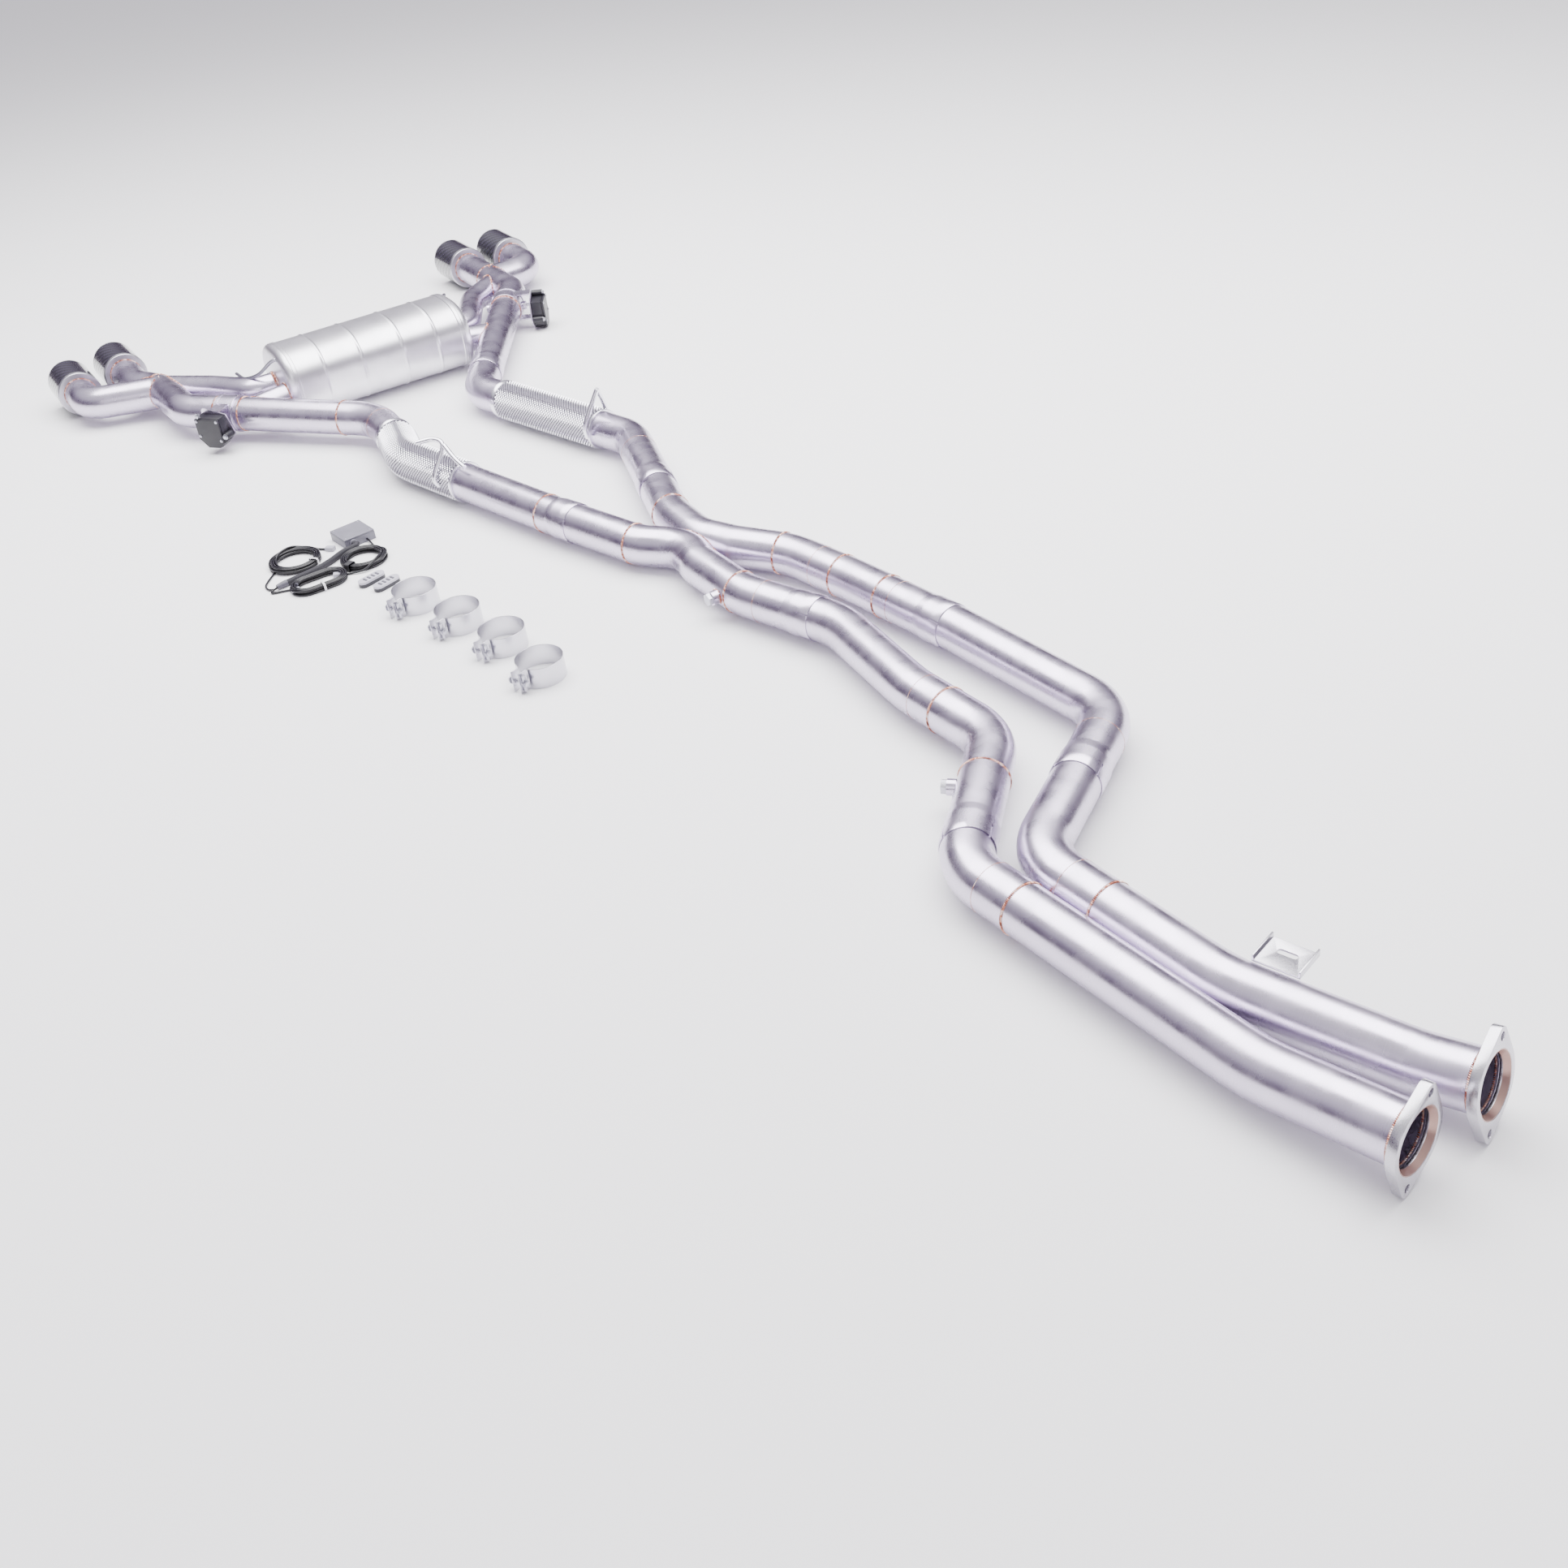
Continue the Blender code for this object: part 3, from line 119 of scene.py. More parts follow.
REAR_RIGHT = [(0.076, 0.035, 0.042, 0), (0.000, 0.050, 0.042, 0.09), (-0.074, -0.009, 0.042, 0.12),
              (-0.313, -0.078, 0.044, 0.40), (-0.788, -0.195, 0.046, 0.16), (-0.895, -0.172, 0.049, 0.12),
              (-1.030, -0.168, 0.054, 0.13), (-1.415, -0.492, 0.061, 0.09), (-1.620, -0.499, 0.057, 0.15),
              (-1.700, -0.537, 0.055, 0.15), (-1.822, -0.538, 0.055, 0)]
REAR_LEFT = [(0.058, 0.122, 0.042, 0), (-0.020, 0.090, 0.042, 0.12), (-0.143, 0.097, 0.042, 0.25),
             (-0.517, 0.209, 0.045, 0.11), (-1.018, 0.077, 0.046, 0.10), (-1.548, 0.403, 0.062, 0.09),
             (-1.700, 0.409, 0.058, 0.15), (-1.866, 0.410, 0.056, 0)]
BRANCH_RIGHT = [(-1.600, -0.4983, 0.0574, 0), (-1.672, -0.660, 0.055, 0.062), (-1.780, -0.660, 0.055, 0)]
BRANCH_LEFT = [(-1.690, 0.4086, 0.0583, 0), (-1.710, 0.531, 0.056, 0.062), (-1.850, 0.531, 0.056, 0)]
OUTLET_RIGHT = [(-1.378, -0.280, 0.072, 0), (-1.383, -0.335, 0.070, 0.050), (-1.500, -0.400, 0.064, 0.15),
                (-1.650, -0.511, 0.0562, 0)]
OUTLET_LEFT = [(-1.392, 0.166, 0.072, 0), (-1.400, 0.220, 0.071, 0.050), (-1.560, 0.296, 0.064, 0.15),
               (-1.660, 0.4074, 0.0591, 0)]
INLET_X = {"right": -1.290, "left": -1.304}
INLET_INSIDE = 0.012
HANGER_AT = {"right": 0.729, "left": 0.703}
HANGERS = {"right": [[(0.012, -0.0405, 0.000), (0.012, -0.046, 0.022), (0.006, -0.012, 0.075),
                      (-0.020, -0.020, 0.085), (-0.030, -0.055, 0.085)],
                     [(0.010, -0.010, 0.078), (0.045, -0.006, 0.060), (0.075, 0.000, 0.048)]],
           "left": [[(0.030, -0.0405, 0.000), (0.030, -0.040, 0.030), (0.030, 0.000, 0.095)],
                    [(0.030, 0.000, 0.095), (0.000, 0.020, 0.060), (-0.020, 0.036, 0.018)]]}
BUNG_AT = (0.872, 1.671)
SLIP_FRONT = {"right": 0.731, "left": 0.825}
SLIP_MID = {"right": 1.469, "left": 1.364}
SLIP_REAR = {"right": 0.337, "left": 0.323}
SLIP_TAIL_LEFT = 1.198
WRAP = {"right": (0.687, 1.029), "left": (0.685, 1.020)}
VALVE_AT = {"right": 1.521, "left": 1.628}
SLIP_END_GAP = 0.002

# Welds, as distances along each run, and the fine rings where two bends butt together
WELDS = {"front_right": (0.016, 0.580, 0.894, 1.100, 1.655),
         "front_left": (0.016, 0.518, 1.524, 1.642, 1.792),
         "rear_right": (0.180, 0.423, 1.223, 1.483, 1.550, 1.853),
         "rear_left": (0.216, 1.600, 1.656, 1.883)}
SEAMS = {"front_right": (0.638, 1.150, 1.591), "front_left": (0.580, 0.938, 1.490, 1.694),
         "rear_right": (1.105,), "rear_left": (0.516,)}

# Loose pieces on the floor
CLAMP_CENTRES = [(-0.239, -0.399), (-0.110, -0.367), (0.019, -0.337), (0.158, -0.329)]
CLAMP_HEADING = math.radians(-68)
BOX_CENTRE = (-0.598, -0.394)
BOX_TURN = math.radians(7)
CONDUIT = [(-0.541, -0.437, 0.0078), (-0.526, -0.466, 0.0066), (-0.512, -0.498, 0.0065),
           (-0.506, -0.530, 0.0065), (-0.499, -0.566, 0.0065)]


# ---- Finishes ----------------------------------------------------------------

def hue(code):
    """Linear colour of an sRGB hex value."""
    channels = [int(code[i:i + 2], 16) / 255 for i in (1, 3, 5)]
    return tuple(c / 12.92 if c <= 0.04045 else ((c + 0.055) / 1.055) ** 2.4 for c in channels) + (1.0,)


def add(tree, kind, inputs=None, **settings):
    """A node with its settings; inputs take values or other nodes' sockets."""
    made = tree.nodes.new(kind)
    for key, value in settings.items():
        setattr(made, key, value)
    for key, value in (inputs or {}).items():
        if isinstance(value, bpy.types.NodeSocket):
            tree.links.new(value, made.inputs[key])
        else:
            made.inputs[key].default_value = value
    return made


def blank(name, base, metallic, roughness, **uniform):
    """Material with its even values set on the shader's own sockets."""
    material = bpy.data.materials.new(name)
    material.use_nodes = True
    tree = material.node_tree
    shader = tree.nodes["Principled BSDF"]
    values = {"Base Color": hue(base), "Metallic": metallic, "Roughness": roughness, **uniform}
    for key, value in values.items():
        shader.inputs[key].default_value = value
    material.diffuse_color = hue(base)
    return material, tree, shader


def stops(ramp, pairs):
    """Colour stops of a ramp, from (position, hex) pairs."""
    elements = ramp.color_ramp.elements
    while len(elements) < len(pairs):
        elements.new(0.5)
    for element, (position, code) in zip(elements, pairs):
        element.position = position
        element.color = hue(code)


def join(tree, shader, socket, output):
    tree.links.new(output, shader.inputs[socket])


# Stainless tube, belt-finished round its girth: fine rings stretch the highlight across the
# pipe, and each weld leaves straw, rose and violet oxide that fades over two centimetres.
def tube_steel():
    material, tree, shader = blank("belt-finished stainless tube", "#d3cadd", 1.0, 0.27)
    place = add(tree, "ShaderNodeTexCoord").outputs["Object"]
    along = add(tree, "ShaderNodeAttribute", attribute_name="along").outputs["Fac"]
    heat = add(tree, "ShaderNodeAttribute", attribute_name="heat").outputs["Fac"]
    cloud = add(tree, "ShaderNodeTexNoise", {"Vector": place, "Scale": 1 / 0.035, "Detail": 4.0})
    wander = add(tree, "ShaderNodeMath", {0: cloud.outputs["Fac"], 1: 0.24, 2: -0.12},
                 operation="MULTIPLY_ADD")
    some = add(tree, "ShaderNodeMath", {0: heat, 1: wander.outputs[0], 2: heat}, operation="MULTIPLY_ADD")
    tint = add(tree, "ShaderNodeValToRGB", {"Fac": some.outputs[0]})
    stops(tint, [(0.0, "#d3cadd"), (0.08, "#cbbbc8"), (0.24, "#c0988f"), (0.45, "#93625c"), (0.72, "#5e4054"),
                 (0.95, "#7d6b80")])
    marks = add(tree, "ShaderNodeTexNoise", {"W": along, "Scale": 1 / 0.0016, "Detail": 3.0},
                noise_dimensions="1D")
    shade = add(tree, "ShaderNodeMapRange", {"Value": marks.outputs["Fac"], "To Min": 0.93, "To Max": 1.04})
    mixed = add(tree, "ShaderNodeMix", {0: 1.0, 6: tint.outputs["Color"], 7: shade.outputs[0]},
                data_type="RGBA", blend_type="MULTIPLY")
    rough = add(tree, "ShaderNodeMapRange",
                {"Value": cloud.outputs["Fac"], "From Min": 0.3, "From Max": 0.7,
                 "To Min": 0.22, "To Max": 0.34})
    bump = add(tree, "ShaderNodeBump", {"Strength": 0.10, "Distance": 0.0003, "Height": marks.outputs["Fac"]})
    join(tree, shader, "Base Color", mixed.outputs[2])
    join(tree, shader, "Roughness", rough.outputs[0])
    join(tree, shader, "Normal", bump.outputs[0])
    return material


# Any other sheet or turned steel: a brushed grain of the size given, with a few darker patches
# where it was handled, and edges that catch the light.
def brushed_metal(name, base, roughness, grain, stretch, depth=0.12):
    material, tree, shader = blank(name, base, 1.0, roughness)
    place = add(tree, "ShaderNodeTexCoord").outputs["Object"]
    pulled = add(tree, "ShaderNodeMapping", {"Vector": place, "Scale": stretch})
    lines = add(tree, "ShaderNodeTexNoise", {"Vector": pulled.outputs[0], "Scale": 1 / grain, "Detail": 3.0})
    cloud = add(tree, "ShaderNodeTexNoise", {"Vector": place, "Scale": 1 / 0.05, "Detail": 3.0})
    tone = add(tree, "ShaderNodeMapRange", {"Value": cloud.outputs["Fac"], "From Min": 0.3, "From Max": 0.7,
                                            "To Min": 0.90, "To Max": 1.03})
    mixed = add(tree, "ShaderNodeMix", {0: 1.0, 6: hue(base), 7: tone.outputs[0]},
                data_type="RGBA", blend_type="MULTIPLY")
    rough = add(tree, "ShaderNodeMapRange", {"Value": lines.outputs["Fac"], "From Min": 0.3, "From Max": 0.7,
                                             "To Min": roughness - 0.06, "To Max": roughness + 0.08})
    bump = add(tree, "ShaderNodeBump",
               {"Strength": depth, "Distance": 0.0003, "Height": lines.outputs["Fac"]})
    join(tree, shader, "Base Color", mixed.outputs[2])
    join(tree, shader, "Roughness", rough.outputs[0])
    join(tree, shader, "Normal", bump.outputs[0])
    return material


# Weld metal: each frozen ripple is a little duller than the tube, and copper to violet from heat.
def weld_metal():
    material, tree, shader = blank("stainless weld bead", "#a58884", 1.0, 0.38)
    place = add(tree, "ShaderNodeTexCoord").outputs["Object"]
    grains = add(tree, "ShaderNodeTexNoise", {"Vector": place, "Scale": 1 / 0.006, "Detail": 2.0})
    tint = add(tree, "ShaderNodeValToRGB", {"Fac": grains.outputs["Fac"]})
    stops(tint, [(0.30, "#61403f"), (0.44, "#b36c55"), (0.56, "#dfb3a1"), (0.70, "#f2e6e4")])
    join(tree, shader, "Base Color", tint.outputs["Color"])
    return material


# Twill carbon under clear lacquer: 2.5 mm tows cross two over two, drawn at twice their width so
# that the weave shows, each lot of tows catching the light in turn.
def carbon_twill():
    material, tree, shader = blank("lacquered carbon twill", "#121117", 0.0, 0.30,
                                   **{"Coat Weight": 1.0, "Coat Roughness": 0.02, "Coat IOR": 1.7})
    uv = add(tree, "ShaderNodeUVMap", uv_map="UVMap").outputs[0]
    parts = add(tree, "ShaderNodeSeparateXYZ", {0: uv})
    pitch = 1 / 0.005
    columns = add(tree, "ShaderNodeMath", {0: parts.outputs["X"], 1: pitch}, operation="MULTIPLY")
    rows = add(tree, "ShaderNodeMath", {0: parts.outputs["Y"], 1: pitch}, operation="MULTIPLY")
    column = add(tree, "ShaderNodeMath", {0: columns.outputs[0]}, operation="FLOOR")
    row = add(tree, "ShaderNodeMath", {0: rows.outputs[0]}, operation="FLOOR")
    both = add(tree, "ShaderNodeMath", {0: column.outputs[0], 1: row.outputs[0]}, operation="ADD")
    phase = add(tree, "ShaderNodeMath", {0: both.outputs[0], 1: 4.0}, operation="FLOORED_MODULO")
    over = add(tree, "ShaderNodeMath", {0: phase.outputs[0], 1: 1.5}, operation="LESS_THAN")
    tone = add(tree, "ShaderNodeMix", {0: over.outputs[0], 6: hue("#0c0b11"), 7: hue("#2c2a36")},
               data_type="RGBA")
    rough = add(tree, "ShaderNodeMapRange", {"Value": over.outputs[0], "To Min": 0.46, "To Max": 0.26})
    bump = add(tree, "ShaderNodeBump", {"Strength": 0.25, "Distance": 0.0003, "Height": over.outputs[0]})
    join(tree, shader, "Base Color", tone.outputs[2])
    join(tree, shader, "Roughness", rough.outputs[0])
    join(tree, shader, "Normal", bump.outputs[0])
    return material


# Moulded or extruded plastic and rubber: spark-eroded grain of the size given, slightly uneven sheen.
def grained(name, base, roughness, grain, depth, **uniform):
    material, tree, shader = blank(name, base, 0.0, roughness, **uniform)
    place = add(tree, "ShaderNodeTexCoord").outputs["Object"]
    pits = add(tree, "ShaderNodeTexNoise", {"Vector": place, "Scale": 1 / grain, "Detail": 2.0})
    cloud = add(tree, "ShaderNodeTexNoise", {"Vector": place, "Scale": 1 / 0.02, "Detail": 2.0})
    tone = add(tree, "ShaderNodeMapRange", {"Value": cloud.outputs["Fac"], "From Min": 0.3, "From Max": 0.7,
                                            "To Min": 0.88, "To Max": 1.10})
    mixed = add(tree, "ShaderNodeMix", {0: 1.0, 6: hue(base), 7: tone.outputs[0]},
                data_type="RGBA", blend_type="MULTIPLY")
    rough = add(tree, "ShaderNodeMapRange", {"Value": cloud.outputs["Fac"], "From Min": 0.3, "From Max": 0.7,
                                             "To Min": roughness - 0.05, "To Max": roughness + 0.07})
    bump = add(tree, "ShaderNodeBump", {"Strength": depth, "Distance": 0.0003, "Height": pits.outputs["Fac"]})
    join(tree, shader, "Base Color", mixed.outputs[2])
    join(tree, shader, "Roughness", rough.outputs[0])
    join(tree, shader, "Normal", bump.outputs[0])
    return material


# Remote shell: pale grey painted ABS face over a black lower half, parted at mid height.
def remote_shell(height):
    material, tree, shader = blank("two-tone moulded ABS", "#b9b6c2", 0.0, 0.36)
    place = add(tree, "ShaderNodeTexCoord").outputs["Object"]
    level = add(tree, "ShaderNodeSeparateXYZ", {0: place}).outputs["Z"]
    above = add(tree, "ShaderNodeMath", {0: level, 1: height}, operation="GREATER_THAN")
    tone = add(tree, "ShaderNodeMix", {0: above.outputs[0], 6: hue("#24222b"), 7: hue("#bab7c4")},
               data_type="RGBA")
    pits = add(tree, "ShaderNodeTexNoise", {"Vector": place, "Scale": 1 / 0.0006, "Detail": 2.0})
    bump = add(tree, "ShaderNodeBump", {"Strength": 0.08, "Distance": 0.0002, "Height": pits.outputs["Fac"]})
    join(tree, shader, "Base Color", tone.outputs[2])
    join(tree, shader, "Normal", bump.outputs[0])
    return material


# Braided polyester sleeve: strands 2.4 mm apart on two opposed spirals, black with a dry sheen. The
# strands' crests carry a painted sheen, and the gaps between them painted shade.
def braid():
    material, tree, shader = blank("braided polyester sleeve", "#17151c", 0.0, 0.55)
    uv = add(tree, "ShaderNodeUVMap", uv_map="UVMap").outputs[0]
    parts = add(tree, "ShaderNodeSeparateXYZ", {0: uv})
    waves = []
    for sign in (1, -1):
        slant = add(tree, "ShaderNodeMath", {0: parts.outputs["Y"], 1: float(sign), 2: parts.outputs["X"]},
                    operation="MULTIPLY_ADD")
        phase = add(tree, "ShaderNodeMath", {0: slant.outputs[0], 1: 2 * math.pi / BRAID_PITCH},
                    operation="MULTIPLY")
        waves.append(add(tree, "ShaderNodeMath", {0: phase.outputs[0]}, operation="SINE").outputs[0])
    crossed = add(tree, "ShaderNodeMath", {0: waves[0], 1: waves[1]}, operation="MAXIMUM")
    # painted sheen on the strands' crests, painted shade in the gaps between them
    tone = add(tree, "ShaderNodeMapRange", {"Value": crossed.outputs[0], "From Min": -0.2, "From Max": 1.0})
    mixed = add(tree, "ShaderNodeMix", {0: tone.outputs[0], 6: hue("#0b0a0e"), 7: hue("#34313c")},
                data_type="RGBA")
    bump = add(tree, "ShaderNodeBump", {"Strength": 0.6, "Distance": 0.0005, "Height": crossed.outputs[0]})
    join(tree, shader, "Base Color", mixed.outputs[2])
    join(tree, shader, "Normal", bump.outputs[0])
    return material


# Seamless paper: smooth and matt, with tooth too fine to see from the camera.
def studio_paper():
    material, tree, shader = blank("white studio paper", "#fbfafc", 0.0, 0.95)
    place = add(tree, "ShaderNodeTexCoord").outputs["Object"]
    tooth = add(tree, "ShaderNodeTexNoise", {"Vector": place, "Scale": 1 / 0.0004, "Detail": 1.0})
    tone = add(tree, "ShaderNodeMapRange", {"Value": tooth.outputs["Fac"], "To Min": 0.985, "To Max": 1.0})
    mixed = add(tree, "ShaderNodeMix", {0: 1.0, 6: hue("#fbfafc"), 7: tone.outputs[0]},
                data_type="RGBA", blend_type="MULTIPLY")
    join(tree, shader, "Base Color", mixed.outputs[2])
    return material


# Embossed foil: bright on the diamonds' faces, with painted shade down in the hollows between them,
# which are coloured grey. The diamonds are drawn at 8 mm, coarser than the usual 5 mm, so that they show.
def embossed_foil():
    material, tree, shader = blank("embossed aluminium foil", "#e3e2ea", 1.0, 0.26)
    low = add(tree, "ShaderNodeAttribute", attribute_name="valley_shade").outputs["Fac"]
    place = add(tree, "ShaderNodeTexCoord").outputs["Object"]
    creases = add(tree, "ShaderNodeTexNoise", {"Vector": place, "Scale": 1 / 0.004, "Detail": 3.0})
    # painted shade: the foil's sunk skin between the diamonds is coloured dark grey
    tone = add(tree, "ShaderNodeMix", {0: low, 6: hue("#eceaf2"), 7: hue("#4a4356")}, data_type="RGBA")
    rough = add(tree, "ShaderNodeMapRange", {"Value": low, "To Min": 0.24, "To Max": 0.5})
    bump = add(tree, "ShaderNodeBump",
               {"Strength": 0.2, "Distance": 0.0004, "Height": creases.outputs["Fac"]})
    join(tree, shader, "Base Color", tone.outputs[2])
    join(tree, shader, "Roughness", rough.outputs[0])
    join(tree, shader, "Normal", bump.outputs[0])
    return material


TUBE = tube_steel()
WELD = weld_metal()
CARBON = carbon_twill()
BRAID = braid()
MACHINED = brushed_metal("turned stainless plate", "#cbc8d0", 0.26, 0.0012, (1, 1, 6))
MUFFLER_SKIN = brushed_metal("rolled muffler sheet", "#edebf1", 0.36, 0.0016, (6, 1, 6), 0.05)
FOIL = embossed_foil()
TIP_METAL = brushed_metal("bead-blasted tip steel", "#b9b6bf", 0.36, 0.0010, (1, 1, 1), 0.15)
COPPER = brushed_metal("rose copper seat gasket", "#b39289", 0.36, 0.0012, (1, 1, 4))
ZINC = brushed_metal("zinc-plated bolt", "#bdbcc6", 0.30, 0.0010, (1, 1, 4))
BAND = brushed_metal("spring-rolled clamp band", "#d0ced6", 0.24, 0.0010, (1, 1, 8))
ABS = grained("moulded black ABS", "#1a1820", 0.36, 0.0008, 0.14)
NYLON = grained("glass-filled nylon case", "#716f7b", 0.44, 0.0009, 0.16)
RUBBER = grained("moulded silicone rubber", "#5c5a66", 0.55, 0.0007, 0.12)
PVC = grained("extruded PVC cable sheath", "#141219", 0.30, 0.0010, 0.05)
TAPE = grained("cloth loom tape", "#1c1a21", 0.62, 0.0009, 0.30)
TIE = grained("white nylon tie", "#e4e2e8", 0.38, 0.0010, 0.06)
PLUG = grained("natural nylon connector", "#a9a7b3", 0.40, 0.0008, 0.10)
WOOL = grained("glass wool", "#c9bf98", 0.92, 0.0014, 0.9)
REMOTE = remote_shell(0.0072)


# ---- Shapes ------------------------------------------------------------------

def at(x, y, z):
    """Layout position as a world position."""
    return Vector((x - PLAN_CENTRE[0], y - PLAN_CENTRE[1], z))


def piece(name, vertices, faces, finish, smooth=35, uvs=None):
    """Mesh object with its normals made to point out; uvs holds one (u, v) for each corner."""
    mesh = bpy.data.meshes.new(name)
    mesh.from_pydata([tuple(v) for v in vertices], [], faces)
    if uvs:
        layer = mesh.uv_layers.new(name="UVMap")
        for i, uv in enumerate(uvs):
            layer.data[i].uv = uv
    bm = bmesh.new()
    bm.from_mesh(mesh)
    bmesh.ops.recalc_face_normals(bm, faces=bm.faces)
    bm.to_mesh(mesh)
    bm.free()
    mesh.materials.append(finish)
    mesh.shade_smooth()
    mesh.set_sharp_from_angle(angle=math.radians(smooth))
    obj = bpy.data.objects.new(name, mesh)
    bpy.context.scene.collection.objects.link(obj)
    return obj


def settle(obj, slot, *nodes, body="system"):
    """The piece rides on a body and stands for its CAD nodes; slot is not used."""
    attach(obj, body)
    if nodes:
        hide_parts(*nodes)
    return obj


def boolean(target, other, operation, smooth=35):
    """Union or difference with another solid, which is used up."""
    modifier = target.modifiers.new(operation.lower(), "BOOLEAN")
    modifier.operation = operation
    modifier.object = other
    bpy.context.view_layer.update()
    evaluated = target.evaluated_get(bpy.context.evaluated_depsgraph_get())
    mesh = bpy.data.meshes.new_from_object(evaluated)
    target.modifiers.clear()
    target.data = mesh
    bpy.data.objects.remove(other)
    mesh.shade_smooth()
    mesh.set_sharp_from_angle(angle=math.radians(smooth))
    bpy.context.view_layer.update()
    return target


def together(name, objects):
    """Several separate shells as one object."""
    meshes = [obj.data for obj in objects]
    finish = meshes[0].materials[0]
    bm = bmesh.new()
    for mesh in meshes:
        bm.from_mesh(mesh)
    whole = bpy.data.meshes.new(name)
    bm.to_mesh(whole)
    bm.free()
    whole.materials.append(finish)
    for obj in objects:
        bpy.data.objects.remove(obj)
    obj = bpy.data.objects.new(name, whole)
    bpy.context.scene.collection.objects.link(obj)
    return obj


def refined(node, finish, slot, width, body="system", segments=2):
    """A CAD node merged, with its edges broken, in place of the node."""
    bm = bmesh.new()
    bm.from_mesh(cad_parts[node].data)
    bmesh.ops.remove_doubles(bm, verts=bm.verts, dist=2e-5)
    bmesh.ops.dissolve_limit(bm, angle_limit=math.radians(1), verts=bm.verts, edges=bm.edges)
    edges = [e for e in bm.edges if e.is_manifold and e.calc_face_angle(0) > math.radians(38)]
    bmesh.ops.bevel(bm, geom=edges, offset=width, segments=segments, profile=0.6, affect="EDGES",
                    clamp_overlap=True)
    mesh = bpy.data.meshes.new(node + "_skin")
    bm.to_mesh(mesh)
    bm.free()
    mesh.materials.append(finish)
    mesh.shade_smooth()
    mesh.set_sharp_from_angle(angle=math.radians(32))
    obj = bpy.data.objects.new(node + "_skin", mesh)
    bpy.context.scene.collection.objects.link(obj)
    return settle(obj, slot, node, body=body)


def rounded(corners):
    """Centre line through corners (x, y, z, bend radius), each bend drawn as an arc."""
    points = [at(*corner[:3]) for corner in corners]
    line = [points[0]]
    for before, corner, after, spec in zip(points, points[1:], points[2:], corners[1:]):
        into = (corner - before).normalized()
        out = (after - corner).normalized()
        angle = into.angle(out)
        if angle < 0.01:
            line.append(corner)
            continue
        room = spec[3] * math.tan(angle / 2)
        steps = max(2, math.ceil(angle / BEND_STEP))
        middle = (out - into).normalized()
        centre = corner + middle * (spec[3] / math.cos(angle / 2))
        start = corner - into * room - centre
        axis = into.cross(out).normalized()
        for step in range(steps + 1):
            line.append(centre + Matrix.Rotation(angle * step / steps, 3, axis) @ start)
    line.append(points[-1])
    return line


def length_of(line):
    return sum((b - a).length for a, b in zip(line, line[1:]))


def point_at(line, distance):
    """Point and direction at a distance along a line, which runs on straight past its ends."""
    left = distance
    for a, b in zip(line, line[1:]):
        span = (b - a).length
        if left <= span or b is line[-1]:
            direction = (b - a).normalized()
            return a + direction * left, direction
        left -= span


def spaced(line, start, end, marks=(), corners=()):
    """Distances for rings: at bends and corners, every 20 mm, and close together by each weld."""
    wanted = [start + 0.02 * k for k in range(1, int((end - start) / 0.02) + 1)]
    run = 0.0
    for a, b in zip(line, line[1:]):
        run += (b - a).length
        wanted.append(run)
    for mark in marks:
        wanted += [mark + 0.004 * k for k in range(-8, 9)]
    chosen = [start, end]
    for d in sorted(corners):
        if start < d < end and min(abs(d - c) for c in chosen) > 0.0003:
            chosen.append(d)
    for d in sorted(wanted):
        if start < d < end and min(abs(d - c) for c in chosen) > 0.0022:
            chosen.append(d)
    return sorted(chosen)


def hoops(points, radii, sides):
    """Rings of vertices around a line: level with the floor, or turned little if it climbs."""
    befores = [points[0]] + points[:-1]
    afters = points[1:] + [points[-1]]
    directions = [(after - before).normalized() for before, after in zip(befores, afters)]
    climbs = any(abs(direction.z) > 0.8 for direction in directions)
    side = directions[0].orthogonal()
    rings = []
    for point, direction, radius in zip(points, directions, radii):
        side = side - direction * side.dot(direction) if climbs else direction.cross(Vector((0, 0, 1)))
        side.normalize()
        up = side.cross(direction)
        turns = [2 * math.pi * (k + 0.5) / sides for k in range(sides)]
        rings.append([point + (side * math.cos(t) + up * math.sin(t)) * radius for t in turns])
    return rings


def skin(rings, faces, first):
    """Faces between rings whose vertices start at first."""
    sides = len(rings[0])
    for i in range(len(rings) - 1):
        for k in range(sides):
            a = first + i * sides + k
            b = first + i * sides + (k + 1) % sides
            faces.append((a, b, b + sides, a + sides))


def rod(name, points, radius, finish, sides=SIDES):
    """Solid round bar along points; radius is one value or one for each point."""
    radii = radius if isinstance(radius, list) else [radius] * len(points)
    rings = hoops(points, radii, sides)
    faces = []
    skin(rings, faces, 0)
    last = (len(rings) - 1) * sides
    faces.append(tuple(range(sides)))
    faces.append(tuple(last + k for k in range(sides)))
    return piece(name, [v for ring in rings for v in ring], faces, finish)


def blend(profile, distance, column):
    """Value of a profile's column at a distance."""
    for low, high in zip(profile, profile[1:]):
        if distance <= high[0] + 1e-6:
            share = (distance - low[0]) / (high[0] - low[0])
            return low[column] + (high[column] - low[column]) * min(max(share, 0), 1)
    return profile[-1][column]


def tube(name, line, start, end, profile, finish, marks=(), sides=SIDES):
    """Open pipe along a line; profile holds (distance from start, outer radius, inner radius)."""
    spots = spaced(line, start, end, marks, [start + row[0] for row in profile])
    points = [point_at(line, d)[0] for d in spots]
    outside = hoops(points, [blend(profile, d - start, 1) for d in spots], sides)
    inside = hoops(points, [blend(profile, d - start, 2) for d in spots], sides)
    faces = []
    skin(outside, faces, 0)
    offset = len(outside) * sides
    skin(inside, faces, offset)
    for ring in (0, len(outside) - 1):
        for k in range(sides):
            a = ring * sides + k
            b = ring * sides + (k + 1) % sides
            faces.append((a, b, b + offset, a + offset))
    return piece(name, [v for ring in outside + inside for v in ring], faces, finish)


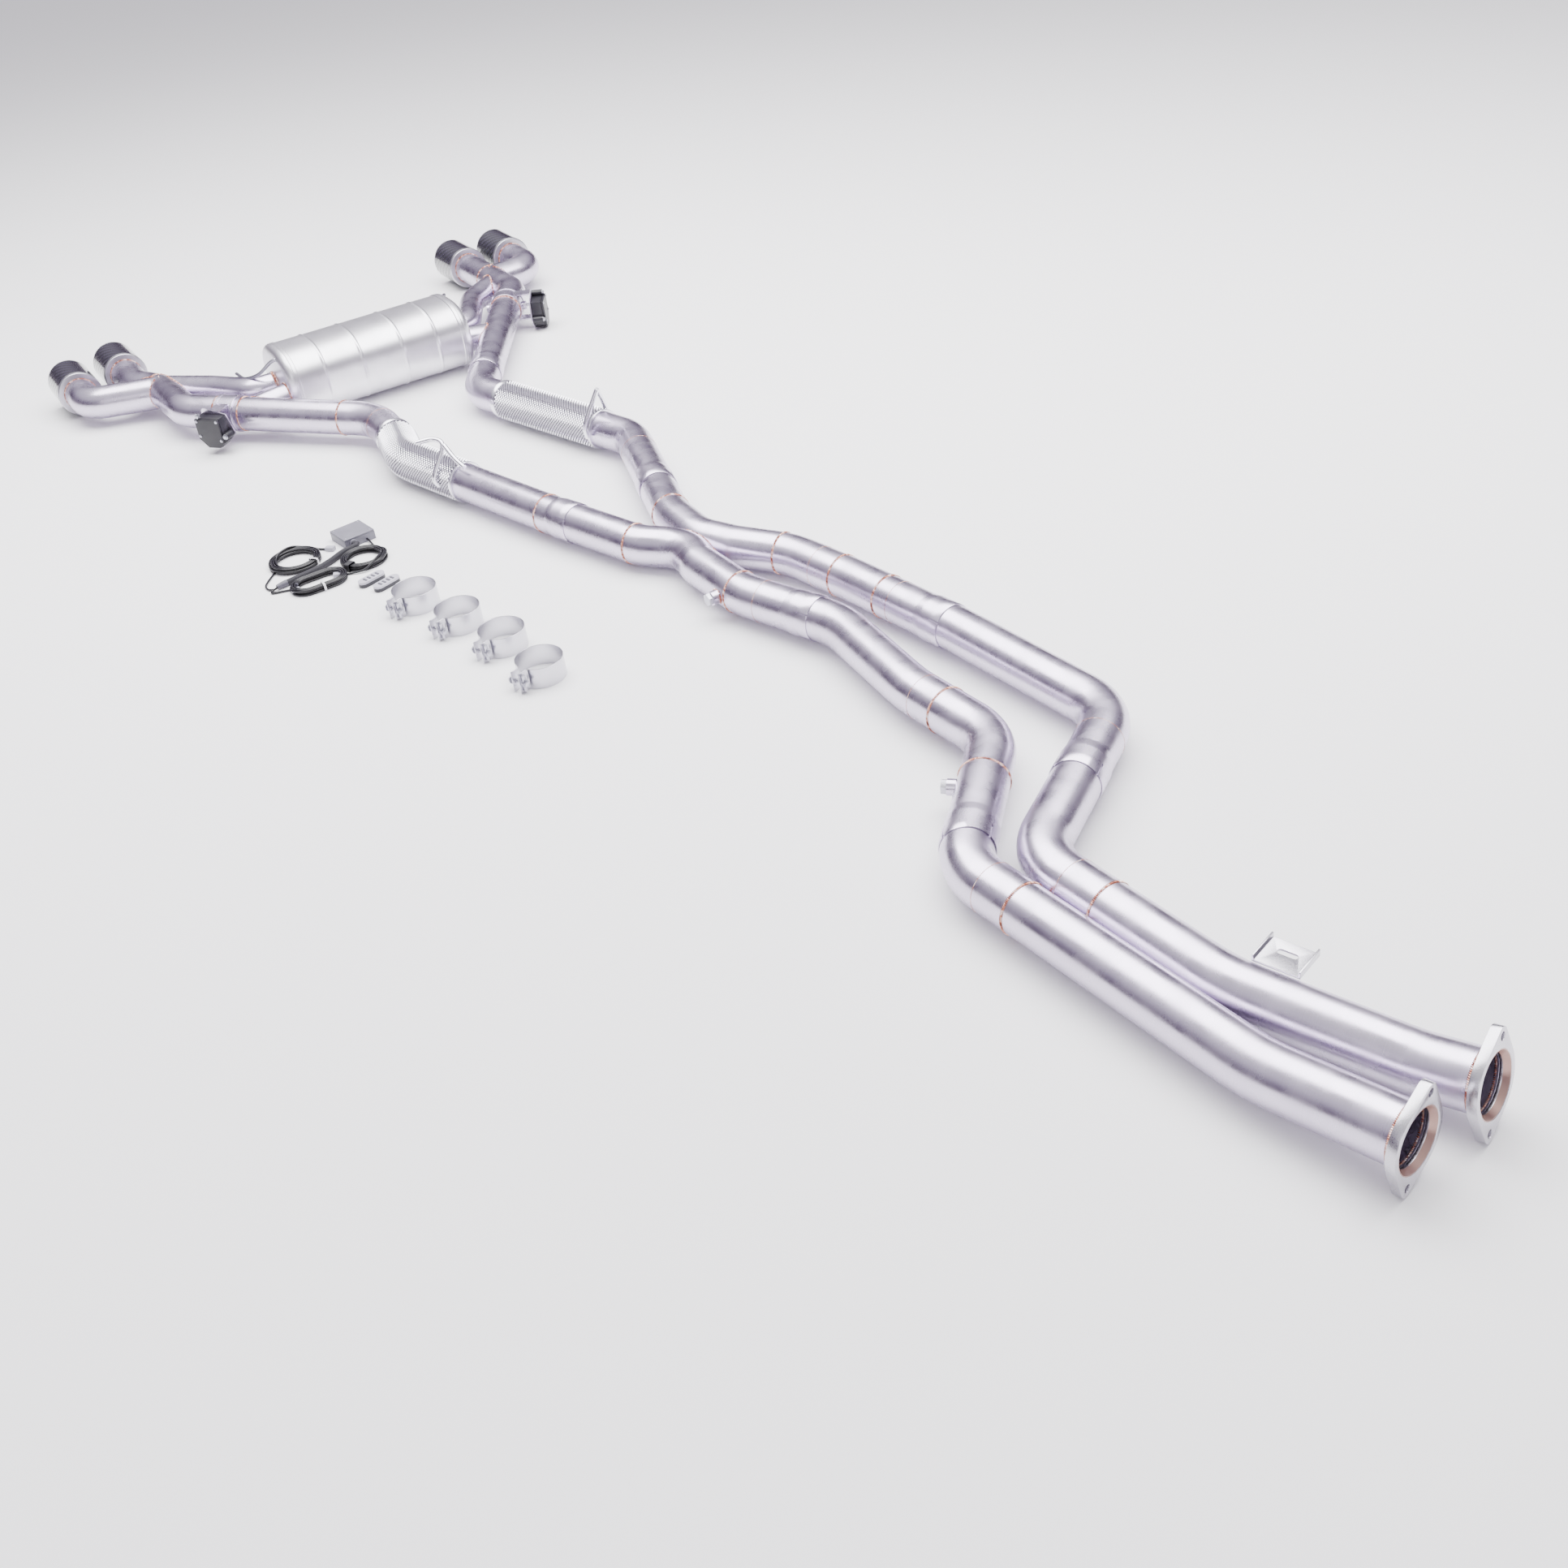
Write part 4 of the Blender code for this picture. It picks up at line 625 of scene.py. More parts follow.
def slab(name, outline, z_low, z_high, finish, placing=None, smooth=35):
    """Outline in x and y, given an even thickness and put in place."""
    placing = placing or Matrix()
    count = len(outline)
    vertices = [placing @ Vector((x, y, z)) for z in (z_low, z_high) for x, y in outline]
    faces = [tuple(range(count)), tuple(range(count, 2 * count))]
    for k in range(count):
        m = (k + 1) % count
        faces.append((k, m, m + count, k + count))
    return piece(name, vertices, faces, finish, smooth)


def block(name, low, high, finish, placing=None):
    outline = [(low[0], low[1]), (high[0], low[1]), (high[0], high[1]), (low[0], high[1])]
    return slab(name, outline, low[2], high[2], finish, placing)


def circle(radius, steps, centre=(0, 0), start=0.0, turn=2 * math.pi):
    closed = abs(turn - 2 * math.pi) < 1e-6
    count = steps if closed else steps + 1
    return [(centre[0] + radius * math.cos(start + turn * k / steps),
             centre[1] + radius * math.sin(start + turn * k / steps)) for k in range(count)]


def hull(points):
    """Convex outline around points."""
    points = sorted(set((round(x, 7), round(y, 7)) for x, y in points))

    def half(ordered):
        chain = []
        for p in ordered:
            while len(chain) > 1:
                (ax, ay), (bx, by) = chain[-2:]
                if (bx - ax) * (p[1] - ay) - (by - ay) * (p[0] - ax) > 0:
                    break
                chain.pop()
            chain.append(p)
        return chain[:-1]

    return half(points) + half(points[::-1])


def placing(origin, x_axis, z_axis):
    """Matrix whose local X and Z lie along the axes given."""
    x = x_axis.normalized()
    z = (z_axis - x * z_axis.dot(x)).normalized()
    y = z.cross(x)
    return Matrix.Translation(origin) @ Matrix((x, y, z)).transposed().to_4x4()


def turned(name, place, profile, finish, steps=96, smooth=30):
    """Closed outline of (distance along Z, radius) points turned about Z, with its weave laid flat."""
    count = len(profile)
    vertices = []
    for k in range(steps):
        turn = 2 * math.pi * k / steps
        for z, r in profile:
            vertices.append(place @ Vector((r * math.cos(turn), r * math.sin(turn), z)))
    faces = []
    uvs = []
    widest = max(r for _, r in profile)
    girth = 0.020 * round(2 * math.pi * widest / 0.020)
    for k in range(steps):
        m = (k + 1) % steps
        for i in range(count):
            j = (i + 1) % count
            faces.append((k * count + i, k * count + j, m * count + j, m * count + i))
            uvs += [(girth * k / steps, profile[i][0]), (girth * k / steps, profile[j][0]),
                    (girth * (k + 1) / steps, profile[j][0]), (girth * (k + 1) / steps, profile[i][0])]
    return piece(name, vertices, faces, finish, smooth, uvs)


def smooth_route(spots, spacing):
    """Even points on a smooth curve through the spots."""
    points = [Vector(p) for p in spots]
    padded = [points[0] * 2 - points[1]] + points + [points[-1] * 2 - points[-2]]
    fine = []
    for p0, p1, p2, p3 in zip(padded, padded[1:], padded[2:], padded[3:]):
        for k in range(24):
            t = k / 24
            fine.append(0.5 * ((2 * p1) + (p2 - p0) * t + (2 * p0 - 5 * p1 + 4 * p2 - p3) * t ** 2
                               + (3 * p1 - p0 - 3 * p2 + p3) * t ** 3))
    fine.append(points[-1])
    total = length_of(fine)
    count = max(2, round(total / spacing))
    return [point_at(fine, total * k / count)[0] for k in range(count + 1)]


# ---- What repeats: weld ripples, foil diamonds and hexagon bolts ----------------

def repeater(name, shape):
    """Tree that sets one small shape on every vertex, turned by its axis and heading values."""
    tree = bpy.data.node_groups.new(name, "GeometryNodeTree")
    tree.interface.new_socket("Geometry", in_out="INPUT", socket_type="NodeSocketGeometry")
    tree.interface.new_socket("Size", in_out="INPUT", socket_type="NodeSocketVector")
    tree.interface.new_socket("Finish", in_out="INPUT", socket_type="NodeSocketMaterial")
    tree.interface.new_socket("Geometry", in_out="OUTPUT", socket_type="NodeSocketGeometry")
    given = add(tree, "NodeGroupInput")
    axis = add(tree, "GeometryNodeInputNamedAttribute", {"Name": "axis"}, data_type="FLOAT_VECTOR")
    heading = add(tree, "GeometryNodeInputNamedAttribute", {"Name": "heading"}, data_type="FLOAT_VECTOR")
    stand = add(tree, "FunctionNodeAlignRotationToVector", {"Vector": axis.outputs[0]}, axis="Z")
    face = add(tree, "FunctionNodeAlignRotationToVector",
               {"Rotation": stand.outputs[0], "Vector": heading.outputs[0]}, axis="X", pivot_axis="Z")
    placed = add(tree, "GeometryNodeInstanceOnPoints",
                 {"Points": given.outputs["Geometry"], "Instance": shape(tree),
                  "Rotation": face.outputs[0], "Scale": given.outputs["Size"]})
    real = add(tree, "GeometryNodeRealizeInstances", {0: placed.outputs[0]})
    coated = add(tree, "GeometryNodeSetMaterial",
                 {"Geometry": real.outputs[0], "Material": given.outputs["Finish"]})
    add(tree, "NodeGroupOutput", {0: coated.outputs[0]})
    return tree


def ripple(tree):
    return add(tree, "GeometryNodeMeshIcoSphere", {"Radius": 1.0, "Subdivisions": 1}).outputs["Mesh"]


def diamond(tree):
    return add(tree, "GeometryNodeMeshCone", {"Vertices": 4, "Radius Top": 0.12, "Radius Bottom": 1.0,
                                              "Depth": 1.0}, fill_type="NGON").outputs["Mesh"]


def hexagon_bolt(tree):
    """Washer, hexagon and domed crown, one unit across the hexagon's corners' half width."""
    washer = add(tree, "GeometryNodeMeshCylinder", {"Vertices": 28, "Radius": 1.3, "Depth": 0.25})
    head = add(tree, "GeometryNodeMeshCylinder", {"Vertices": 6, "Radius": 1.0, "Depth": 0.85})
    crown = add(tree, "GeometryNodeMeshCone", {"Vertices": 24, "Radius Top": 0.55, "Radius Bottom": 0.86,
                                               "Depth": 0.14})
    parts = add(tree, "GeometryNodeJoinGeometry")
    lifts = ((washer, 0.12), (head, 0.66), (crown, 1.085))
    for shape, lift in lifts:
        moved = add(tree, "GeometryNodeTransform",
                    {"Geometry": shape.outputs["Mesh"], "Translation": (0, 0, lift)})
        tree.links.new(moved.outputs[0], parts.inputs[0])
    return parts.outputs[0]


RIPPLES = repeater("weld ripples", ripple)
DIAMONDS = repeater("foil diamonds", diamond)
BOLTS = repeater("hexagon bolts", hexagon_bolt)


def scattered(name, tree, spots, size, finish, slot, smooth=180):
    """One piece from a tree; spots are (place, axis, heading)."""
    mesh = bpy.data.meshes.new(name)
    mesh.from_pydata([tuple(spot[0]) for spot in spots], [], [])
    for column, label in ((1, "axis"), (2, "heading")):
        layer = mesh.attributes.new(label, "FLOAT_VECTOR", "POINT")
        layer.data.foreach_set("vector", [c for spot in spots for c in spot[column]])
    obj = bpy.data.objects.new(name, mesh)
    bpy.context.scene.collection.objects.link(obj)
    modifier = obj.modifiers.new("repeat", "NODES")
    modifier.node_group = tree
    values = {"Size": size, "Finish": finish}
    for item in tree.interface.items_tree:
        if item.item_type == "SOCKET" and item.in_out == "INPUT" and item.name in values:
            modifier[item.identifier] = values[item.name]
    bpy.context.view_layer.update()
    evaluated = obj.evaluated_get(bpy.context.evaluated_depsgraph_get())
    made = bpy.data.meshes.new_from_object(evaluated)
    obj.modifiers.clear()
    obj.data = made
    made.shade_smooth()
    made.set_sharp_from_angle(angle=math.radians(smooth))
    return settle(obj, slot)


def ring_spots(centre, direction, radius, pitch):
    """Ripple places round a pipe, each turned along the weld."""
    rings = hoops([centre - direction * 0.001, centre + direction * 0.001], [radius, radius],
                  max(12, round(2 * math.pi * radius / pitch)))
    ring = [(a + b) / 2 for a, b in zip(*rings)]
    return [(p, direction.cross(p - centre).normalized(), direction) for p in ring]


def saddle_spots(obj, ends, pitch, sunk):
    """Ripple places along the creases where welded tubes meet, away from their open ends."""
    bm = bmesh.new()
    bm.from_mesh(obj.data)
    found = []
    for edge in bm.edges:
        if len(edge.link_faces) != 2 or edge.calc_face_angle(0) < math.radians(16):
            continue
        a, b = edge.verts[0].co, edge.verts[1].co
        if edge.is_convex or min(((a + b) / 2 - end).length for end in ends) < PIPE_R + 0.006:
            continue
        inward = (edge.link_faces[0].normal + edge.link_faces[1].normal).normalized()
        count = max(1, round((b - a).length / pitch))
        for k in range(count):
            found.append((a.lerp(b, (k + 0.5) / count) - inward * sunk, (b - a).normalized(), inward))
    bm.free()
    kept = []
    for spot in found:
        if all((spot[0] - other[0]).length > pitch * 0.7 for other in kept[-400:]):
            kept.append(spot)
    return kept


def stain(obj, line, welds):
    """Values that the tube steel reads: distance along the run, and how hot each weld left it."""
    mesh = obj.data
    places = np.empty(len(mesh.vertices) * 3, np.float32)
    mesh.vertices.foreach_get("co", places)
    places = places.reshape(-1, 3)
    steps = np.arange(0, length_of(line), 0.004)
    knots = np.array([tuple(point_at(line, float(d))[0]) for d in steps], np.float32)
    nearest = np.concatenate([np.argmin(((part[:, None] - knots[None]) ** 2).sum(2), axis=1)
                              for part in np.array_split(places, max(1, len(places) // 2000))])
    lead = np.array([tuple(point_at(line, float(d))[1]) for d in steps], np.float32)[nearest]
    along = steps[nearest] + ((places - knots[nearest]) * lead).sum(1)
    heat = np.zeros(len(places))
    for centre, direction, strength, reach in welds:
        offset = places - np.array(centre)
        away = np.abs(offset @ np.array(direction))
        near = np.linalg.norm(offset, axis=1) < PIPE_R * 1.9
        heat = np.maximum(heat, near * strength * np.exp(-(away / reach) ** 2))
    for label, values in (("along", along), ("heat", heat)):
        mesh.attributes.new(label, "FLOAT", "POINT").data.foreach_set("value", values.astype(np.float32))
    return obj


# ---- Pipes ---------------------------------------------------------------------

FRONTS = {"right": rounded(FRONT_RIGHT), "left": rounded(FRONT_LEFT)}
REARS = {"right": rounded(REAR_RIGHT), "left": rounded(REAR_LEFT)}
BRANCHES = {"right": rounded(BRANCH_RIGHT), "left": rounded(BRANCH_LEFT)}
OUTLETS = {"right": rounded(OUTLET_RIGHT), "left": rounded(OUTLET_LEFT)}
RUNS = {"front_right": FRONTS["right"], "front_left": FRONTS["left"],
        "rear_right": REARS["right"], "rear_left": REARS["left"]}
WELDED_RUNS = tuple(RUNS)
RIPPLE_SIZE = (0.0032, 0.0020, 0.0014)
RIPPLE_PITCH = 0.0024


def run_welds(run):
    """Centre, direction, strength and reach of each weld's heat on a run."""
    line = RUNS[run]
    return [(*point_at(line, d), 0.95, 0.022) for d in WELDS[run]] + \
           [(*point_at(line, d), 0.55, 0.011) for d in SEAMS[run]]


def run_marks(run):
    return WELDS[run] + SEAMS[run]


def plain_pipe(length, radius=PIPE_R):
    return [(0, radius, radius - PIPE_WALL), (length, radius, radius - PIPE_WALL)]


def sleeved_pipe(length):
    """Pipe whose front end is swelled to take the pipe ahead of it, with a rolled-in lip."""
    wide = PIPE_R + GAP
    return [(0, wide + PIPE_WALL - 0.0007, wide), (0.0010, wide + PIPE_WALL, wide),
            (SLIP_OVERLAP, wide + PIPE_WALL, wide), (SLIP_OVERLAP + SLIP_TAPER, PIPE_R, PIPE_R - PIPE_WALL),
            (length, PIPE_R, PIPE_R - PIPE_WALL)]


def slotted(obj, line, start):
    """Four relief slots sawn in a sleeve's mouth, so that a clamp can close it."""
    cutters = []
    for turn in (35, 145, 215, 325):
        mouth, direction = point_at(line, start)
        across = direction.cross(Vector((0, 0, 1))).normalized()
        radial = Matrix.Rotation(math.radians(turn), 3, direction) @ across
        place = placing(mouth, direction, radial)
        cutters.append(block("saw", (-0.004, -SLOT_HALF_WIDTH, PIPE_R - 0.0002),
                             (SLOT_LENGTH, SLOT_HALF_WIDTH, PIPE_R + 0.006), TUBE, place))
    return boolean(obj, together("saws", cutters), "DIFFERENCE")


def manifold(name, runs, marks=(), bosses=()):
    """Pipes and bosses welded into one piece and opened right through; returns it and its creases."""
    body = None
    bores = []
    ends = []
    for line, start, end, profile, open_start, open_end in runs:
        near_welds = marks if line in RUNS.values() else ()
        spots = spaced(line, start, end, near_welds, [start + row[0] for row in profile])
        points = [point_at(line, d)[0] for d in spots]
        solid = rod(name, points, [blend(profile, d - start, 1) for d in spots], TUBE)
        body = boolean(body, solid, "UNION") if body else solid
        inner = [blend(profile, d - start, 2) for d in spots]
        if open_start:
            ends.append(points[0])
            points = [points[0].lerp(points[1], -0.01 / (points[1] - points[0]).length)] + points
            inner = inner[:1] + inner
        if open_end:
            ends.append(points[-1])
            points.append(points[-1].lerp(points[-2], -0.01 / (points[-2] - points[-1]).length))
            inner.append(inner[-1])
        bores.append((points, inner))
    for boss in bosses:
        boolean(body, boss, "UNION")
    creases = saddle_spots(body, ends, RIPPLE_PITCH, 0.0004)
    for points, inner in bores:
        boolean(body, rod("bore", points, inner, TUBE), "DIFFERENCE")
    return body, creases


def bung_axis(line, distance):
    centre, direction = point_at(line, distance)
    return centre, Vector((0, 0, 1)).cross(direction).normalized()


def bung(line, distance):
    """Threaded boss for a lambda sensor on a pipe's side."""
    centre, outward = bung_axis(line, distance)
    root = centre + outward * (PIPE_R - PIPE_WALL)
    return rod("boss", [root, centre + outward * (PIPE_R + BUNG_LENGTH)], BUNG_R, TUBE, 40)


ripples = {"front": [], "rear": []}
inside = SLIP_OVERLAP - SLIP_END_GAP
for side in ("right", "left"):
    run = "front_" + side
    line = FRONTS[side]
    slip = SLIP_FRONT[side]
    pipe = tube("front_tube_" + side, line, FLANGE_THICK + GAP, slip + inside, plain_pipe(slip + inside),
                TUBE, run_marks(run))
    settle(stain(pipe, line, run_welds(run)), "pipe_steel", "front_pipe_" + side)
    start, end = slip + GAP / 2, SLIP_MID[side] + inside - GAP / 2
    bosses = [bung(line, BUNG_AT[0])] if side == "right" else []
    middle, _ = manifold("mid_tube_" + side, [(line, start, end, sleeved_pipe(end - start), True, True)],
                         run_marks(run), bosses)
    slotted(middle, line, start)
    settle(stain(middle, line, run_welds(run)), "pipe_steel", "mid_pipe_" + side)

# The X: both runs from their sleeves to where they part again
runs = []
for side in ("right", "left"):
    front = FRONTS[side]
    start = SLIP_MID[side]
    tail = [point_at(front, start)[0]]
    run_length = 0.0
    for a, b in zip(front, front[1:]):
        run_length += (b - a).length
        if run_length > start + 0.001:
            tail.append(b)
    crossing = tail[:-1] + REARS[side]
    end = length_of(tail) + SLIP_REAR[side] + SLIP_OVERLAP - SLIP_END_GAP
    marks = [d - start for d in run_marks("front_" + side) if d > start] + \
            [d + length_of(tail) for d in run_marks("rear_" + side)]
    RUNS["cross_" + side] = crossing
    runs.append((crossing, GAP / 2, end, sleeved_pipe(end), True, True))
    WELDS["cross_" + side] = tuple(marks)
marks = sorted(WELDS["cross_right"] + WELDS["cross_left"])
cross, creases = manifold("crossed_tubes", runs, marks, [bung(FRONTS["right"], BUNG_AT[1])])
ripples["front"] += creases
for crossing, start, *_ in runs:
    slotted(cross, crossing, start)
near_cross = [weld for name in WELDED_RUNS for weld in run_welds(name)]
settle(stain(cross, RUNS["cross_right"], near_cross), "pipe_steel", "x_pipe")


def inlet_line(side, line):
    """Axis of the short pipe from a main pipe into the muffler, square to the muffler's cap."""
    x = INLET_X[side] - PLAN_CENTRE[0]
    start = next(a.lerp(b, (x - a.x) / (b.x - a.x)) for a, b in zip(line, line[1:]) if b.x <= x <= a.x)
    sign = 1 if side == "right" else -1
    cap = at(INLET_X[side], MUFFLER_CENTRE[1] - sign * MUFFLER_HALF_LENGTH, MUFFLER_CENTRE[2] - 0.0150)
    return [start, cap + Vector((0, sign * INLET_INSIDE, 0))]


def hanger_rod(line, distance, spots, finish):
    centre, _ = point_at(line, distance)
    route = smooth_route([centre + Vector(spot) for spot in spots], HANGER_R * 1.2)
    return rod("hanger", route, HANGER_R, finish, 20)


def heat_wrap(side, line):
    """Foil tube with two plain hems, whose skin between them is pressed into diamonds."""
    start, end = WRAP[side]
    length = end - start
    inner = PIPE_R + GAP
    base = inner + WRAP_THICK - FOIL_RELIEF
    hem = inner + WRAP_THICK
    profile = [(0, hem - 0.0008, inner), (0.001, hem, inner), (0.007, hem, inner), (0.009, base, inner),
               (length - 0.009, base, inner), (length - 0.007, hem, inner), (length, hem, inner)]
    shield = tube("foil_wrap_" + side, line, start, end, profile, FOIL)
    for spots in HANGERS[side]:
        boolean(shield, hanger_rod(line, HANGER_AT[side], spots, FOIL), "UNION")
    places = np.empty(len(shield.data.vertices) * 3, np.float32)
    shield.data.vertices.foreach_get("co", places)
    knots = [point_at(line, start + 0.012 + 0.006 * k)[0] for k in range(int((length - 0.024) / 0.006) + 1)]
    knots = np.array([tuple(p) for p in knots], np.float32)
    away = np.sqrt(((places.reshape(-1, 1, 3) - knots[None]) ** 2).sum(2)).min(1)
    # mask of the sunk skin between the hems, where the foil takes its painted shade
    sunk = (np.abs(away - base) < 0.0006).astype(np.float32)
    shield.data.attributes.new("valley_shade", "FLOAT", "POINT").data.foreach_set("value", sunk)
    settle(shield, "heat_wrap", "heat_wrap_" + side)
    count = round(2 * math.pi * base / FOIL_PITCH)
    rows = int((length - 0.022) / (FOIL_PITCH * 0.5))
    line_points = [point_at(line, start + 0.011 + FOIL_PITCH * 0.5 * k) for k in range(rows)]
    spots = []
    rings = hoops([p for p, _ in line_points], [base - 0.0001] * rows, 2 * count)
    for k, ring in enumerate(rings):
        centre, direction = line_points[k]
        spots += [(p, (p - centre).normalized(), direction) for p in ring[k % 2::2]]
    scattered("foil_diamonds_" + side, DIAMONDS, spots, DIAMOND_SIZE, FOIL, "heat_wrap", 20)


for side in ("right", "left"):
    run = "rear_" + side
    line = REARS[side]
    heats = run_welds(run)
    before = VALVE_AT[side] - VALVE_LENGTH / 2 - GAP / 2
    last = "rear_pipe_right"
    begin = SLIP_REAR[side]
    if side == "left":
        last = "tail_pipe_left"
        start, end = begin + GAP / 2, SLIP_TAIL_LEFT + inside - GAP / 2
        pipe = tube("rear_tube_left", line, start, end, sleeved_pipe(end - start), TUBE, run_marks(run))
        slotted(pipe, line, start)
        settle(stain(pipe, line, heats), "pipe_steel", "rear_pipe_left")
        begin = SLIP_TAIL_LEFT
    inlet = inlet_line(side, line)
    start = begin + GAP / 2
    pipe, creases = manifold(last + "_tube", [(line, start, before, sleeved_pipe(before - start), True, True),
                                              (inlet, 0, length_of(inlet),
                                               plain_pipe(length_of(inlet), MUFFLER_PIPE_R), False, True)],
                             run_marks(run))
    slotted(pipe, line, start)
    ripples["rear"] += creases
    inlet_heat = [(inlet[0].lerp(inlet[1], 0.5), (inlet[1] - inlet[0]).normalized(), 0.5, 0.02)]
    settle(stain(pipe, line, heats + inlet_heat), "pipe_steel", last)
    heat_wrap(side, line)

    branch = BRANCHES[side]
    outlet = OUTLETS[side]
    begin = VALVE_AT[side] + VALVE_LENGTH / 2 + GAP / 2
    total = length_of(line)
    limbs = [(line, begin, total, plain_pipe(total), True, True),
             (branch, 0, length_of(branch), plain_pipe(total), False, True),
             (outlet, 0, length_of(outlet), plain_pipe(total, MUFFLER_PIPE_R), True, False)]
    collector, creases = manifold("collector_" + side, limbs, run_marks(run))
    ripples["rear"] += creases
    branch_heat = [(*point_at(branch, 0.058), 0.8, 0.016),
                   (*point_at(branch, length_of(branch) - 0.022), 0.6, 0.010)]
    settle(stain(collector, line, heats + branch_heat), "pipe_steel", "y_pipe_" + side)
    ripples["rear"] += ring_spots(*point_at(outlet, 0.006), MUFFLER_PIPE_R - 0.0002, RIPPLE_PITCH)
    for end_line in (line, branch):
        joint = length_of(end_line) - TIP_INSET - 0.0008
        ripples["rear"] += ring_spots(*point_at(end_line, joint), PIPE_R, RIPPLE_PITCH)
for run in WELDED_RUNS:
    for distance in WELDS[run]:
        ring = ring_spots(*point_at(RUNS[run], distance), PIPE_R - 0.0003, RIPPLE_PITCH)
        ripples[run.split("_")[0]] += ring
for zone, spots in ripples.items():
    scattered("weld_ripples_" + zone, RIPPLES, spots, RIPPLE_SIZE, WELD, "pipe_steel")
seam_spots = []
for run in WELDED_RUNS:
    for distance in SEAMS[run]:
        seam_spots += ring_spots(*point_at(RUNS[run], distance), PIPE_R - 0.0004, 0.0026)
scattered("seam_ripples", RIPPLES, seam_spots, (0.0009, 0.0009, 0.0016), WELD, "pipe_steel")


# ---- Inlet flanges, bungs and front bracket ------------------------------------------

for side in ("right", "left"):
    refined("inlet_flange_" + side, MACHINED, "machined_steel", 0.0008)
    line = FRONTS[side]
    front, direction = point_at(line, 0)
    up = direction.cross(Vector((0, 0, 1))).cross(direction)
    place = placing(front, up, -direction) @ Matrix.Rotation(-FLANGE_LEAN, 4, "Z")
    bore = PIPE_R - PIPE_WALL
    seat = [(-SEAT_DEPTH + 0.0004, bore + 0.0003), (-0.0006, SEAT_R - 0.0005), (-0.0006, SEAT_R - 0.0018),
            (-SEAT_DEPTH + 0.0004, bore - 0.0010)]
    settle(turned("seat_gasket_" + side, place, seat, COPPER), "machined_steel")
for name in ("sensor_plug_front", "sensor_plug_rear"):
    refined(name, ZINC, "machined_steel", 0.0006)
refined("front_bracket", MACHINED, "machined_steel", 0.0005)


# ---- Tips --------------------------------------------------------------------------

for side in ("right", "left"):
    for place_name, line in (("inner", REARS[side]), ("outer", BRANCHES[side])):
        label = side + "_" + place_name
        end, direction = point_at(line, length_of(line))
        place = placing(end - direction * TIP_INSET, direction.cross(Vector((0, 0, 1))), direction)
        core = TIP_R - SLEEVE_THICK - GAP
        collar = PIPE_R + GAP
        rim = TIP_LENGTH - TIP_RIM
        turns = [math.radians(a) for a in range(15, 91, 15)]
        shoulder = [(TIP_EDGE * (1 - math.cos(t)), TIP_R - TIP_EDGE * (1 - math.sin(t))) for t in turns]
        liner = [(0, collar), (0, TIP_R - 0.009), (0, TIP_R - TIP_EDGE), *shoulder, (TIP_CAP, TIP_R),
                 (TIP_CAP, core), (rim, core), (rim, TIP_R), (TIP_LENGTH - 0.0022, TIP_R),
                 (TIP_LENGTH - 0.0007, TIP_R - 0.0007), (TIP_LENGTH, TIP_R - 0.0022),
                 (TIP_LENGTH, TIP_BORE_R + 0.0016), (TIP_LENGTH - 0.0008, TIP_BORE_R + 0.0005),
                 (TIP_LENGTH - TIP_EDGE, TIP_BORE_R), (TIP_INSET + TIP_CAP, TIP_BORE_R),
                 (TIP_INSET + TIP_EDGE, collar)]
        sleeve = [(TIP_CAP + GAP, core + GAP), (TIP_CAP + GAP, TIP_R - 0.0005), (TIP_CAP + 0.0010, TIP_R),
                  (rim - 0.0010, TIP_R), (rim - GAP, TIP_R - 0.0005), (rim - GAP, core + GAP)]
        settle(turned("tip_shell_" + label, place, liner, TIP_METAL), "machined_steel", "tip_liner_" + label)
        wrap = turned("carbon_wrap_" + label, place, sleeve, CARBON)
        settle(wrap, "carbon_fibre", "carbon_sleeve_" + label)


# ---- Valves and actuators ----------------------------------------------------------------

def valve_frame(line, distance, side):
    """Frame in a valve: X along the flow, Y along the shaft towards the actuator, Z up."""
    centre, direction = point_at(line, distance)
    outward = direction.cross(Vector((0, 0, 1))).normalized()
    if side == "right":
        outward = -outward
    up = direction.cross(outward)
    if up.z < 0:
        up = -up
    return Matrix.Translation(centre) @ Matrix((direction, outward, up)).transposed().to_4x4()


def local_line(place, *spots):
    return [place @ Vector(spot) for spot in spots]


def actuator_face():
    x = CASE_LENGTH / 2
    z = CASE_HEIGHT / 2
    chamfer = CASE_CHAMFER
    return [(-x, z), (-x, -z + chamfer * 0.7), (-x + chamfer * 0.7, -z), (x - chamfer * 1.2, -z),
            (x, -z + chamfer * 1.3), (x, z)]


